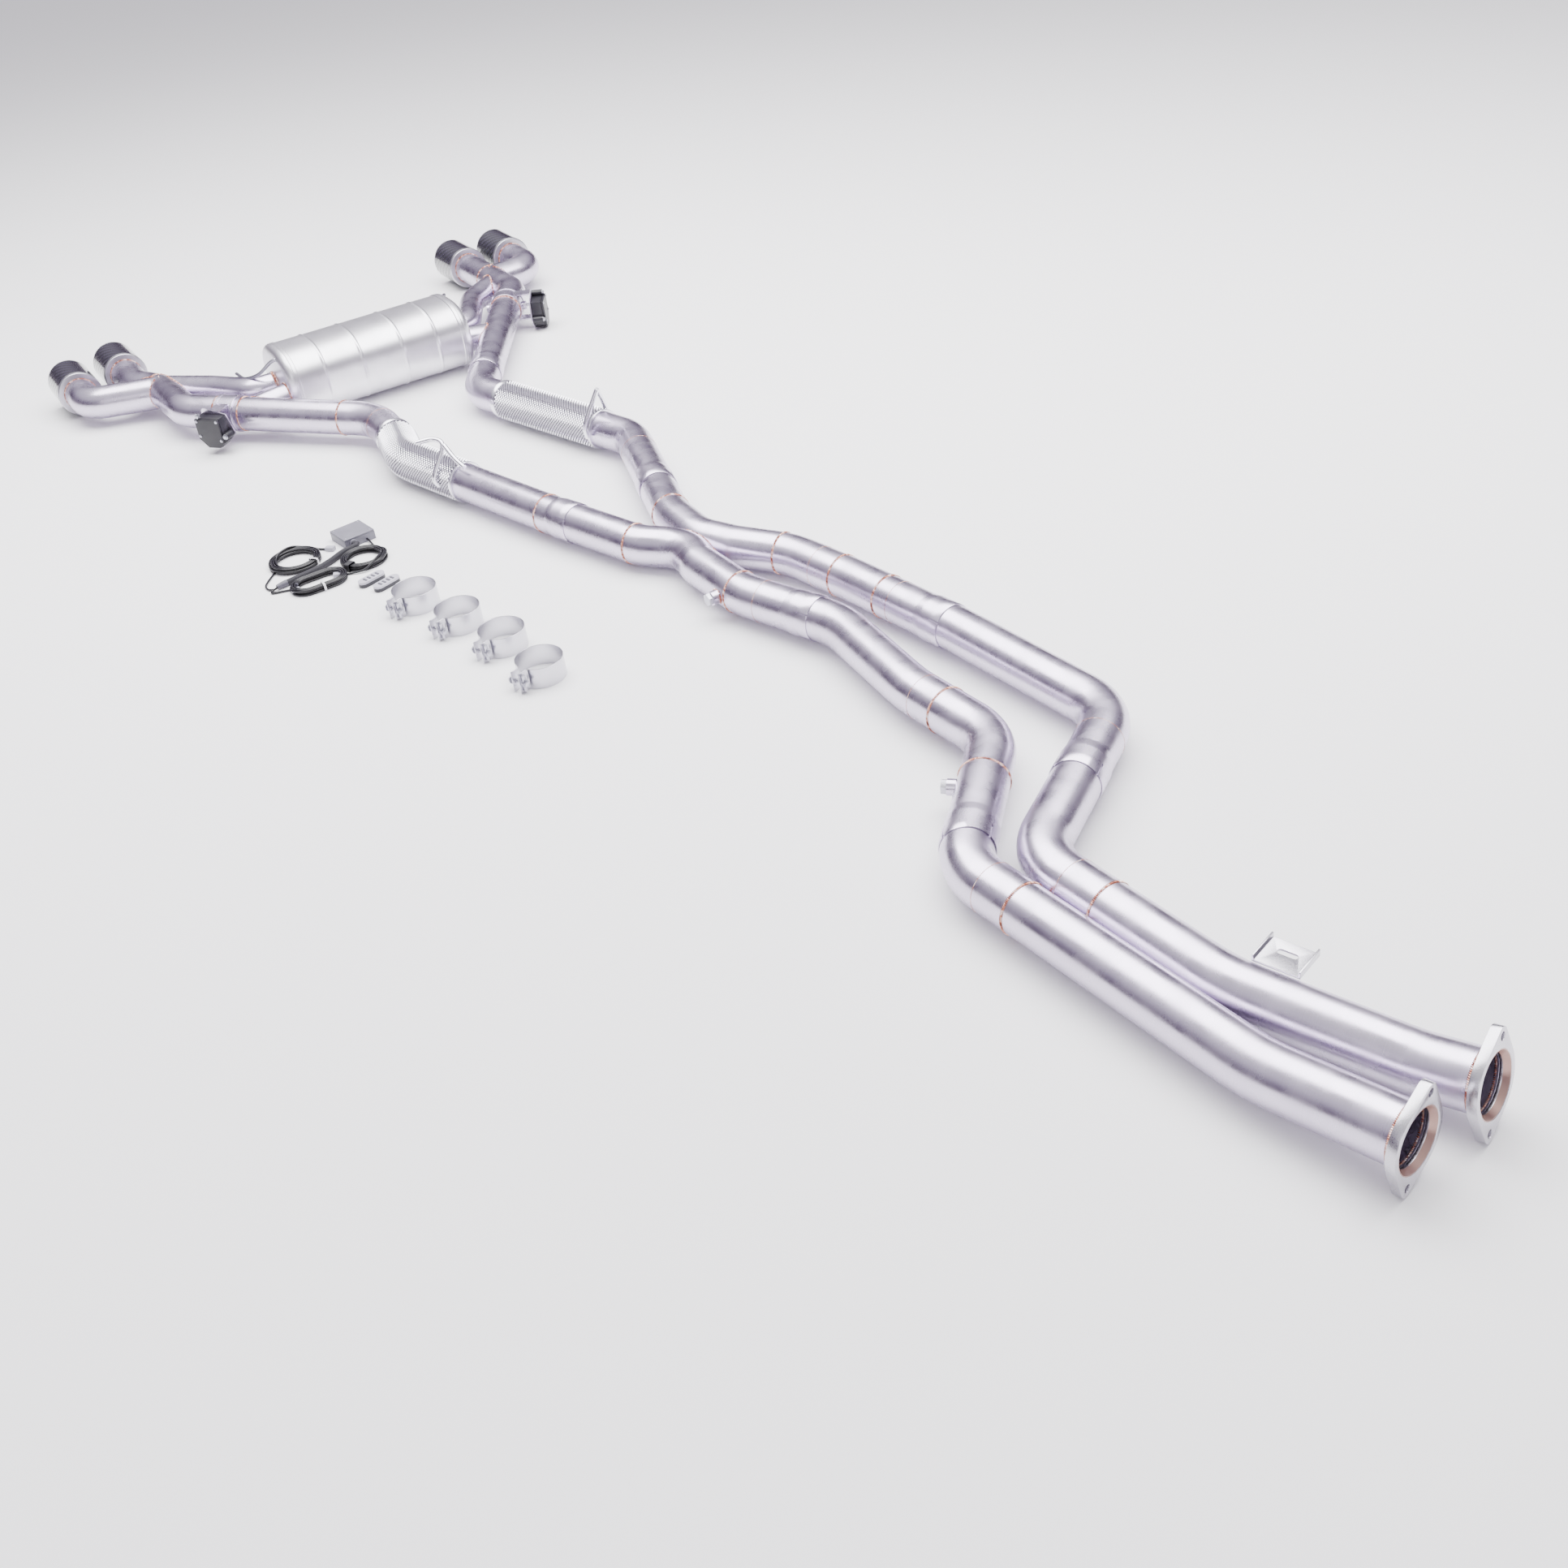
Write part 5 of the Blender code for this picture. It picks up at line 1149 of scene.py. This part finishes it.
for side in ("right", "left"):
    place = valve_frame(REARS[side], VALVE_AT[side], side)
    half = VALVE_LENGTH / 2 - GAP / 2
    stations = [(-half, VALVE_R - 0.0006), (-half + 0.0006, VALVE_R), (-half + 0.007, VALVE_R),
                (-half + 0.008, VALVE_R - 0.0014), (half - 0.008, VALVE_R - 0.0014), (half - 0.007, VALVE_R),
                (half - 0.0006, VALVE_R), (half, VALVE_R - 0.0006)]
    body = rod("valve_housing_" + side, local_line(place, *((x, 0, 0) for x, _ in stations)),
               [r for _, r in stations], TUBE, 64)
    boss = local_line(place, (0, -BOSS_REACH, 0), (0, BOSS_REACH, 0))
    boolean(body, rod("boss", boss, BOSS_R, TUBE, 40), "UNION")
    through = local_line(place, (-0.04, 0, 0), (0.04, 0, 0))
    boolean(body, rod("bore", through, PIPE_R - PIPE_WALL, TUBE, 64), "DIFFERENCE")
    well = local_line(place, (0, -BOSS_REACH + 0.004, 0), (0, BOSS_REACH + 0.01, 0))
    boolean(body, rod("well", well, SHAFT_R + 0.00012, TUBE, 32), "DIFFERENCE")
    flat = place @ Matrix(((1, 0, 0, 0), (0, 0, 1, 0), (0, 1, 0, 0), (0, 0, 0, 1)))
    flat = flat @ Matrix.Translation((0, -CASE_DROP[side], 0))
    face = actuator_face()
    lugs = [(CASE_LENGTH / 2 - LUG_R, CASE_HEIGHT / 2 + LUG_R * 0.6),
            (-CASE_LENGTH / 2 - LUG_R * 0.6, -LUG_R)]
    ears = [point for lug in lugs for point in circle(LUG_R, 24, lug)]
    bracket = slab("bracket", hull(face + ears), CASE_START, CASE_START + BRACKET_THICK, TUBE, flat)
    for z in (VALVE_R - ARM_DROP, -VALVE_R + ARM_DROP):
        root = math.sqrt(VALVE_R ** 2 - z ** 2) - 0.0035
        arm = block("arm", (-ARM_WIDTH / 2, root, z - BRACKET_THICK / 2),
                    (ARM_WIDTH / 2, CASE_START + BRACKET_THICK / 2, z + BRACKET_THICK / 2), TUBE, place)
        boolean(bracket, arm, "UNION")
    entry = local_line(place, (0, CASE_START - 0.01, 0), (0, CASE_START + 0.01, 0))
    boolean(bracket, rod("entry", entry, SHAFT_R + 0.002, TUBE, 32), "DIFFERENCE")
    boolean(body, bracket, "UNION")
    centre, direction = point_at(REARS[side], VALVE_AT[side])
    ends = [(centre + direction * reach, direction, 0.9, 0.012) for reach in (-half, half)]
    settle(stain(body, REARS[side], ends), "pipe_steel", "valve_body_" + side)
    refined("actuator_case_" + side, ABS, "black_plastic", 0.0012)
    refined("actuator_cover_" + side, ABS, "black_plastic", 0.0016, segments=3)
    outward = (place.to_3x3() @ Vector((0, 1, 0))).normalized()
    heading = (place.to_3x3() @ Vector((1, 0, 0))).normalized()
    top = CASE_START + BRACKET_THICK + GAP + CASE_DEPTH
    spots = [(flat @ Vector((lug[0], lug[1], top)), outward, heading) for lug in lugs]
    cover = [(-0.026, 0.029), (0.026, 0.029), (0.026, -0.006), (-0.026, -0.016)]
    scattered("actuator_bolts_" + side, BOLTS, spots, (0.0048, 0.0048, 0.0042), ZINC, "machined_steel", 30)
    spots = [(flat @ Vector((*c, top + GAP + COVER_THICK)), outward, heading) for c in cover]
    scattered("cover_screws_" + side, BOLTS, spots, (0.0026, 0.0026, 0.0018), ZINC, "machined_steel", 30)
for side in ("right", "left"):
    for node in ("valve_plate_" + side, "valve_shaft_" + side):
        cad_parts[node].data.materials.clear()
        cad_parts[node].data.materials.append(MACHINED)


# ---- Muffler -----------------------------------------------------------------------------

def oval(inset, steps=96, power=2.7):
    """Muffler's section, moved in by an even amount."""
    outline = []
    for k in range(steps):
        turn = 2 * math.pi * k / steps
        c = math.cos(turn)
        s = math.sin(turn)
        outline.append((math.copysign(abs(c) ** (2 / power), c) * (MUFFLER_HALF_WIDTH - inset),
                        math.copysign(abs(s) ** (2 / power), s) * (MUFFLER_HALF_HEIGHT - inset)))
    return outline


def oval_loft(name, outside, inside, finish, closed_end=False):
    """Hollow oval from lists of (y, inset); closed_end fills the last ring of each."""
    centre = at(*MUFFLER_CENTRE)
    vertices = []
    faces = []
    firsts = []
    steps = len(oval(0))
    for loft in (outside, inside):
        firsts.append(len(vertices))
        rings = [[centre + Vector((x, y, z)) for x, z in oval(inset)] for y, inset in loft]
        skin(rings, faces, len(vertices))
        vertices += [v for ring in rings for v in ring]
    a, b = firsts
    last_a = a + (len(outside) - 1) * steps
    last_b = b + (len(inside) - 1) * steps
    for k in range(steps):
        m = (k + 1) % steps
        faces.append((a + k, a + m, b + m, b + k))
        if not closed_end:
            faces.append((last_a + k, last_a + m, last_b + m, last_b + k))
    if closed_end:
        faces.append(tuple(range(last_a, last_a + steps)))
        faces.append(tuple(range(last_b, last_b + steps)))
    return piece(name, vertices, faces, finish, 28)


shell_end = MUFFLER_HALF_LENGTH - MUFFLER_CAP_DEPTH
skin_line = [(-shell_end, 0.0006), (-shell_end + 0.001, 0.0), (-shell_end + 0.008, 0.0),
             (-shell_end + 0.0095, RIB_RISE)]
for rib in RIBS:
    for k in range(-6, 7):
        swell = (1 + math.cos(math.radians(30 * k))) / 2
        skin_line.append((rib + 0.0009 * k, RIB_RISE * (1 - swell)))
skin_line += [(shell_end - 0.0095, RIB_RISE), (shell_end - 0.008, 0.0), (shell_end - 0.001, 0.0),
              (shell_end, 0.0006)]
inner = [(-shell_end, RIB_RISE + MUFFLER_WALL), (shell_end, RIB_RISE + MUFFLER_WALL)]
settle(oval_loft("muffler_barrel", skin_line, inner, MUFFLER_SKIN), "muffler_steel", "muffler_shell")
for side, sign in (("right", -1), ("left", 1)):
    start = shell_end + GAP
    turns = [math.radians(a) for a in range(0, 91, 9)]
    outside = [(sign * (start + MUFFLER_CAP_DEPTH * math.sin(t)), 0.018 * (1 - math.cos(t))) for t in turns]
    outside[-1] = (outside[-1][0], 0.019)
    inside_line = [(sign * (start + max(MUFFLER_CAP_DEPTH * math.sin(t) - MUFFLER_WALL, 0)),
                    0.018 * (1 - math.cos(t)) + MUFFLER_WALL) for t in turns]
    cap = oval_loft("muffler_end_" + side, outside, inside_line, MUFFLER_SKIN, True)
    for stub in (inlet_line(side, REARS[side]), OUTLETS[side]):
        boolean(cap, rod("opening", stub, MUFFLER_PIPE_R + GAP, MUFFLER_SKIN, SIDES), "DIFFERENCE", 28)
    settle(cap, "muffler_steel", "muffler_cap_" + side)
    plane = MUFFLER_CENTRE[1] + sign * (start + MUFFLER_CAP_DEPTH)
    inlet = inlet_line(side, REARS[side])
    spots = []
    for stub in (inlet, OUTLETS[side]):
        near = at(0, plane, 0).y
        ends = [(a, b) for a, b in zip(stub, stub[1:]) if min(a.y, b.y) <= near <= max(a.y, b.y)]
        if ends:
            a, b = ends[0]
            centre = a.lerp(b, (near - a.y) / (b.y - a.y))
            spots += ring_spots(centre, Vector((0, 1, 0)), MUFFLER_PIPE_R + 0.0004, RIPPLE_PITCH)
    scattered("cap_ripples_" + side, RIPPLES, spots, RIPPLE_SIZE, WELD, "pipe_steel")
for node, finish in (("muffler_core", MACHINED), ("muffler_packing", WOOL)):
    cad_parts[node].data.materials.clear()
    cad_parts[node].data.materials.append(finish)

# Hanger at the muffler's right end, and the short one at its left end
centre = at(*MUFFLER_CENTRE)
route = [centre + Vector(p) for p in ((0.040, -0.200, 0.060), (0.030, -0.232, 0.062), (-0.010, -0.262, 0.028),
                                      (-0.060, -0.285, 0.010), (-0.115, -0.290, 0.008))]
settle(rod("muffler_hanger_right", smooth_route(route, 0.006), HANGER_R * 0.8, ZINC, 20), "muffler_steel")
route = [centre + Vector(p) for p in ((-0.030, 0.190, 0.060), (-0.050, 0.215, 0.063), (-0.075, 0.240, 0.060))]
settle(rod("muffler_hanger_left", smooth_route(route, 0.006), HANGER_R * 0.8, ZINC, 20), "muffler_steel")


# ---- Band clamps -------------------------------------------------------------------------

def ribbon(points, thickness):
    """Closed outline of an even ribbon along 2-D points."""
    left = []
    right = []
    for i, p in enumerate(points):
        a = Vector(points[max(i - 1, 0)])
        b = Vector(points[min(i + 1, len(points) - 1)])
        normal = Vector((a.y - b.y, b.x - a.x)).normalized() * (thickness / 2)
        left.append((p[0] + normal.x, p[1] + normal.y))
        right.append((p[0] - normal.x, p[1] - normal.y))
    return left + right[::-1]


def band_clamp(number, centre):
    """Open band with folded lugs on its edge, drawn together by a bolt through two barrels."""
    place = Matrix.Translation(at(*centre, 0)) @ Matrix.Rotation(CLAMP_HEADING, 4, "Z")
    middle = CLAMP_R + CLAMP_THICK / 2
    half_mouth = math.asin(CLAMP_MOUTH / 2 / middle)
    ring = circle(middle, 90, (0, 0), half_mouth, 2 * math.pi - 2 * half_mouth)
    lug = [(middle + reach, CLAMP_MOUTH / 2) for reach in (CLAMP_LUG, 0.012, 0.004)]
    lug.append((middle + 0.001, CLAMP_MOUTH / 2 + 0.0006))
    path = lug + ring[1:-1] + [(x, -y) for x, y in reversed(lug)]
    band = slab("clamp_strap_%d" % number, ribbon(path, CLAMP_THICK), 0, CLAMP_HEIGHT, BAND, place, 25)
    x = middle + CLAMP_LUG * 0.6
    z = CLAMP_HEIGHT / 2
    drill = local_line(place, (x, -0.03, z), (x, 0.03, z))
    boolean(band, rod("drill", drill, CLAMP_BOLT_R + GAP, BAND, 24), "DIFFERENCE", 25)
    edge = band.modifiers.new("broken edges", "BEVEL")
    edge.width = 0.0003
    edge.segments = 1
    edge.angle_limit = math.radians(50)
    settle(band, "machined_steel", "clamp_band_%d" % number)
    parts = []
    for sign in (-1, 1):
        y = sign * (CLAMP_MOUTH / 2 + CLAMP_THICK / 2 + 0.0034)
        barrel = local_line(place, (x, y, 0.004), (x, y, 0.0045), (x, y, CLAMP_HEIGHT - 0.0045),
                            (x, y, CLAMP_HEIGHT - 0.004))
        parts.append(rod("barrel", barrel, [0.0028, 0.0033, 0.0033, 0.0028], ZINC, 24))
    shank = local_line(place, (x, -0.0205, z), (x, -0.0200, z), (x, 0.0185, z), (x, 0.0190, z))
    parts.append(rod("shank", shank, [0.0026, 0.0030, 0.0030, 0.0026], ZINC, 24))
    settle(together("clamp_bolt_%d" % number, parts), "machined_steel")
    outward = (place.to_3x3() @ Vector((0, 1, 0))).normalized()
    up = Vector((0, 0, 1))
    heads = [(place @ Vector((x, 0.0150, z)), outward, up), (place @ Vector((x, -0.0150, z)), -outward, up)]
    scattered("clamp_heads_%d" % number, BOLTS, heads, (0.0058, 0.0058, 0.0050), ZINC, "machined_steel", 30)


for number, centre in enumerate(CLAMP_CENTRES, 1):
    band_clamp(number, centre)


# ---- Controller and remotes ------------------------------------------------------------------

box_place = Matrix.Translation(at(*BOX_CENTRE, 0)) @ Matrix.Rotation(BOX_TURN, 4, "Z")
refined("controller_case", NYLON, "black_plastic", 0.0012)
refined("controller_lid", NYLON, "black_plastic", 0.0010, segments=3)
top = BOX_SIZE[2] - 0.0008
corners = [(sx * 0.027, sy * 0.027) for sx in (-1, 1) for sy in (-1, 1)]
spots = [(box_place @ Vector((x, y, top)), Vector((0, 0, 1)), Vector((1, 0, 0))) for x, y in corners]
scattered("lid_screws", BOLTS, spots, (0.0019, 0.0019, 0.0010), ZINC, "machined_steel", 30)
for number in (1, 2):
    refined("remote_case_%d" % number, REMOTE, "remote_shell", 0.0022, segments=4)
    for button in range(1, 5):
        label = "remote_%d_button_%d" % (number, button)
        refined(label, RUBBER, "button_rubber", 0.0005, body=label)


# ---- Loom: a braided sleeve from the controller, and three wound leads -----------------------

def sleeve_mesh(name, path, radius, finish, sides=24):
    """Round sleeve along a path, with its weave following it; radius is one value or one for each."""
    radii = radius if isinstance(radius, list) else [radius] * len(path)
    rings = hoops(path, radii, sides)
    vertices = [v for ring in rings for v in ring]
    faces = []
    skin(rings, faces, 0)
    uvs = []
    far = [0.0]
    for a, b in zip(path, path[1:]):
        far.append(far[-1] + (b - a).length)
    girth = BRAID_PITCH * round(2 * math.pi * CONDUIT_R / BRAID_PITCH)
    for i in range(len(rings) - 1):
        for k in range(sides):
            u, v = girth * k / sides, girth * (k + 1) / sides
            uvs += [(u, far[i]), (v, far[i]), (v, far[i + 1]), (u, far[i + 1])]
    last = (len(rings) - 1) * sides
    faces += [tuple(range(sides)), tuple(last + k for k in range(sides))]
    uvs += [(0.0, 0.0)] * (2 * sides)
    return piece(name, vertices, faces, finish, 40, uvs)


def cable(name, path, gauge, finish):
    """Lead as a round curve of one open spline."""
    curve = bpy.data.curves.new(name, "CURVE")
    curve.dimensions = "3D"
    curve.bevel_depth = gauge / 2
    curve.bevel_resolution = 2
    curve.use_fill_caps = True
    spline = curve.splines.new("POLY")
    spline.points.add(len(path) - 1)
    for spot, point in zip(spline.points, path):
        spot.co = (*point, 1)
    spline.use_smooth = True
    curve.materials.append(finish)
    obj = bpy.data.objects.new(name, curve)
    bpy.context.scene.collection.objects.link(obj)
    return obj


def lap(radius, run, share):
    """Place on one lap of a stadium: straight run, end, straight run, end; share from 0 to 1."""
    total = 2 * math.pi * radius + 2 * run
    s = (share % 1) * total
    if s < run:
        return (-run / 2 + s, -radius)
    s -= run
    if s < math.pi * radius:
        turn = s / radius - math.pi / 2
        return (run / 2 + radius * math.cos(turn), radius * math.sin(turn))
    s -= math.pi * radius
    if s < run:
        return (run / 2 - s, radius)
    s -= run
    turn = s / radius + math.pi / 2
    return (-run / 2 + radius * math.cos(turn), radius * math.sin(turn))


def wound(place, run, outer, layers, turns, gauge, start, sense):
    """Leads wound in flat layers, in and out by turns, from the outside of the lowest layer."""
    step = gauge * 1.04
    points = []
    per_turn = 40
    for k in range(layers * turns * per_turn + 1):
        progress = k / per_turn
        layer = min(int(progress / turns), layers - 1)
        share = (progress - layer * turns) / turns
        inward = share if layer % 2 == 0 else 1 - share
        radius = outer - step * turns * inward
        climb = min(1.0, (progress - layer * turns) / 0.12) if layer else 1.0
        height = gauge / 2 + 0.0002 + step * (layer - 1 + (climb if layer else 1.0))
        x, y = lap(radius, run, start + sense * progress)
        points.append(place @ Vector((x, y, height)))
    return points


def leading(path, spots, gauge):
    """Joins a smooth lead-in to a winding's first point."""
    into = (path[1] - path[0]).normalized()
    way = [Vector(p) for p in spots] + [path[0] - into * 0.008]
    return smooth_route(way + [path[0]], gauge)[:-1] + path


# Braided sleeve
across, up = -0.016, 0.0090
exit_points = [box_place @ Vector((BOX_SIZE[0] / 2 + reach, across, up))
               for reach in (GAP, CONDUIT_R, CONDUIT_R * 2.5)]
sleeve_path = exit_points[:1] + smooth_route(exit_points[1:] + [at(*spot) for spot in CONDUIT], 0.006)
sleeve_piece = sleeve_mesh("braided_sleeve", sleeve_path, CONDUIT_R, BRAID)
tail = (sleeve_path[-1] - sleeve_path[-2]).normalized()
boot_path = [sleeve_path[-1] + tail * d for d in (0.0003, 0.002, 0.010, 0.018, 0.022)]
boot_radii = [0.0064, 0.0066, 0.0062, 0.0052, 0.0044]
boot = settle(rod("sleeve_boot", boot_path, boot_radii, RUBBER, 24), "cable_sheath")
settle(sleeve_piece, "cable_sheath", "loom_conduit")
gland_path = [box_place @ Vector((BOX_SIZE[0] / 2 + d, across, up)) for d in (0.0004, 0.003, 0.004)]
settle(rod("sleeve_gland", gland_path, [0.0082, 0.0080, 0.0066], NYLON, 24), "black_plastic")


def socket_end(name, path, gauge):
    """Moulded two-part connector on a lead's end."""
    end = path[-1]
    direction = ((path[-1] - path[-2]) * Vector((1, 1, 0))).normalized()
    flat = placing(end, direction, Vector((0, 0, 1)))
    height = 0.0078
    low = -end.z + 0.0003
    half = [(0.003, 0.0045), (0.006, 0.0062), (0.022, 0.0062)]
    outline = hull(half + [(x, -y) for x, y in half])
    body = slab(name, outline, low, low + height, PLUG, flat)
    edge = body.modifiers.new("soft edges", "BEVEL")
    edge.width = 0.0009
    edge.segments = 3
    edge.angle_limit = math.radians(40)
    grip = rod(name + "_seal", [end + direction * d for d in (0.0002, 0.001, 0.0035)],
               [gauge * 0.60, gauge * 0.72, gauge * 0.78], RUBBER, 20)
    return [settle(body, "cable_sheath"), settle(grip, "cable_sheath")]


def lead(name, path, node):
    """Makes one wound lead with its connector."""
    ends = socket_end(name + "_plug", path, CABLE)
    obj = settle(cable(name, path, CABLE, PVC), "cable_sheath", node)
    return obj


def coil_tail(path, centre, inner, outer, sense):
    """From the top inner turn across the coil to the floor outside it."""
    last = path[-1]
    start = math.atan2(last.y - centre.y, last.x - centre.x)
    spots = []
    for turn, radius, height in ((0.10, inner, 0.0), (0.20, inner + 0.35 * (outer - inner), CABLE * 0.95),
                                 (0.30, inner + 0.8 * (outer - inner), CABLE * 1.0),
                                 (0.38, outer + 0.006, -CABLE * 1.2)):
        angle = start + sense * 2 * math.pi * turn
        spots.append(Vector((centre.x + radius * math.cos(angle), centre.y + radius * math.sin(angle),
                             last.z + height)))
    angle = start + sense * 2 * math.pi * 0.46
    beyond = outer + 0.010
    spots.append(Vector((centre.x + beyond * math.cos(angle), centre.y + beyond * math.sin(angle),
                         CABLE / 2 + 0.0004)))
    along = (spots[-1] - spots[-2]) * Vector((1, 1, 0))
    spots.append(spots[-1] + along.normalized() * 0.012)
    return smooth_route([path[-2], last] + spots, CABLE)[1:]


boot_end = boot_path[-1]
low = CABLE / 2 + 0.0003
# Left coil, clockwise from its lower side
middle = at(-0.580, -0.522, 0)
outer = 0.0508
coil = wound(Matrix.Translation(middle), 0.0, outer, 3, 3, CABLE, 0.02, -1)
sinking = boot_end + tail * 0.006 + Vector((0, 0, low - boot_end.z)) * 0.6
coil = leading(coil, [boot_end - tail * 0.001, sinking, at(-0.506, -0.6025, low), at(-0.528, -0.600, low)],
               CABLE)
coil += coil_tail(coil, middle, outer - 3 * CABLE * 1.04, outer, -1)
lead("lead_left", coil, "loom_coil_left")
# Hank, the other way from its lower end
hank_place = Matrix.Translation(at(-0.458, -0.515, 0)) @ Matrix.Rotation(math.radians(90), 4, "Z")
hank = wound(hank_place, 0.044, 0.0338, 3, 3, CABLE, 0.80, 1)
hank = leading(hank, [boot_end - tail * 0.001 + Vector((0.0022, 0, 0)), at(-0.4935, -0.598, low),
                      at(-0.484, -0.600, low)], CABLE)
lead("lead_middle", hank, "loom_hank")
# Right coil, from its own grommet in the controller's front
middle = at(-0.490, -0.412, 0)
outer = 0.0458
coil = wound(Matrix.Translation(middle), 0.0, outer, 3, 3, CABLE, 0.58, -1)
side_exit = box_place @ Vector((BOX_SIZE[0] / 2 + GAP, 0.014, 0.006))
side_way = box_place.to_3x3() @ Vector((1, 0, 0))
coil = leading(coil, [side_exit, side_exit + side_way * 0.008 + Vector((0, 0, -0.001))], CABLE)
coil += coil_tail(coil, middle, outer - 3 * CABLE * 1.04, outer, -1)
lead("lead_right", coil, "loom_coil_right")


def strap(name, centre, heading, radius, half_width, height, wide, finish):
    """Band round a winding's section, as tape or a tie; radius is to the section's middle."""
    place = Matrix.Translation(centre) @ Matrix.Rotation(heading, 4, "Z")
    section = []
    bend = 0.003
    for cx, cz, first in ((half_width - bend, height - bend, 0), (-half_width + bend, height - bend, 90),
                          (-half_width + bend, 0.0003 + bend, 180), (half_width - bend, 0.0003 + bend, 270)):
        for a in range(0, 91, 18):
            t = math.radians(first + a)
            section.append((cx + bend * math.cos(t), cz + bend * math.sin(t), math.cos(t), math.sin(t)))
    vertices = []
    for y in (-wide / 2, wide / 2):
        for thick in (0.0, 0.0008):
            vertices += [place @ Vector((radius + x + nx * thick, y, z + nz * thick))
                         for x, z, nx, nz in section]
    count = len(section)
    faces = []
    for k in range(count):
        m = (k + 1) % count
        faces += [(k, m, count + m, count + k), (2 * count + k, 2 * count + m, 3 * count + m, 3 * count + k),
                  (k, m, 2 * count + m, 2 * count + k), (count + k, count + m, 3 * count + m, 3 * count + k)]
    return settle(piece(name, vertices, faces, finish, 40), "cable_sheath")


strap("coil_tape", at(-0.490, -0.412, 0), math.radians(-62), 0.0392, 0.0095, 0.0150, 0.012, TAPE)
strap("coil_tie", at(-0.580, -0.522, 0), math.radians(38), 0.0442, 0.0095, 0.0148, 0.004, TIE)
strap("hank_tie", at(-0.458, -0.515, 0), math.radians(0), 0.0274, 0.0095, 0.0148, 0.004, TIE)


# ---- Camera, floor and light ---------------------------------------------------------------------

camera_data = bpy.data.cameras.new("camera")
camera = bpy.data.objects.new("camera", camera_data)
bpy.context.scene.collection.objects.link(camera)
camera_data.sensor_width = 36.0
camera_data.sensor_fit = "HORIZONTAL"
camera_data.lens = 38.76
ahead = Vector((-0.7259, 0.3795, -0.5736)).normalized()
right = Vector((0.5280, 0.8419, -0.1112))
right = (right - ahead * right.dot(ahead)).normalized()
above = right.cross(ahead)
camera.matrix_world = Matrix.Translation(at(2.5366, -1.1428, 1.45)) @ \
    Matrix((right, above, -ahead)).transposed().to_4x4()
bpy.context.scene.camera = camera

FLOOR = studio_paper()
floor = slab("studio_floor", hull(circle(26, 64)), -0.02, -0.0002, FLOOR)


def softbox(name, place, target, size, power, code="#ffffff"):
    light = bpy.data.lights.new(name, "AREA")
    light.shape = "RECTANGLE"
    light.size, light.size_y = size
    light.energy = power
    light.color = hue(code)[:3]
    obj = bpy.data.objects.new(name, light)
    bpy.context.scene.collection.objects.link(obj)
    obj.location = place
    obj.rotation_euler = (Vector(target) - Vector(place)).to_track_quat("-Z", "Y").to_euler()


softbox("overhead", (-0.6, 0.6, 3.2), (-0.2, 0.1, 0), (6.0, 3.2), 560)
softbox("front_fill", (3.2, -3.2, 2.2), (0, 0, 0), (2.5, 2.0), 40)
world = bpy.data.worlds.new("studio")
bpy.context.scene.world = world
world.use_nodes = True
backdrop = world.node_tree.nodes["Background"]
backdrop.inputs["Strength"].default_value = 1.15
sky = world.node_tree
direction = add(sky, "ShaderNodeTexCoord").outputs["Generated"]
height = add(sky, "ShaderNodeSeparateXYZ", {0: direction}).outputs["Z"]
dome = add(sky, "ShaderNodeValToRGB", {"Fac": height})
stops(dome, [(0.0, "#6a5a6e"), (0.16, "#4d3f52"), (0.34, "#8f859a"), (0.60, "#e6e3ee"), (1.0, "#ffffff")])
sky.links.new(dome.outputs["Color"], backdrop.inputs["Color"])
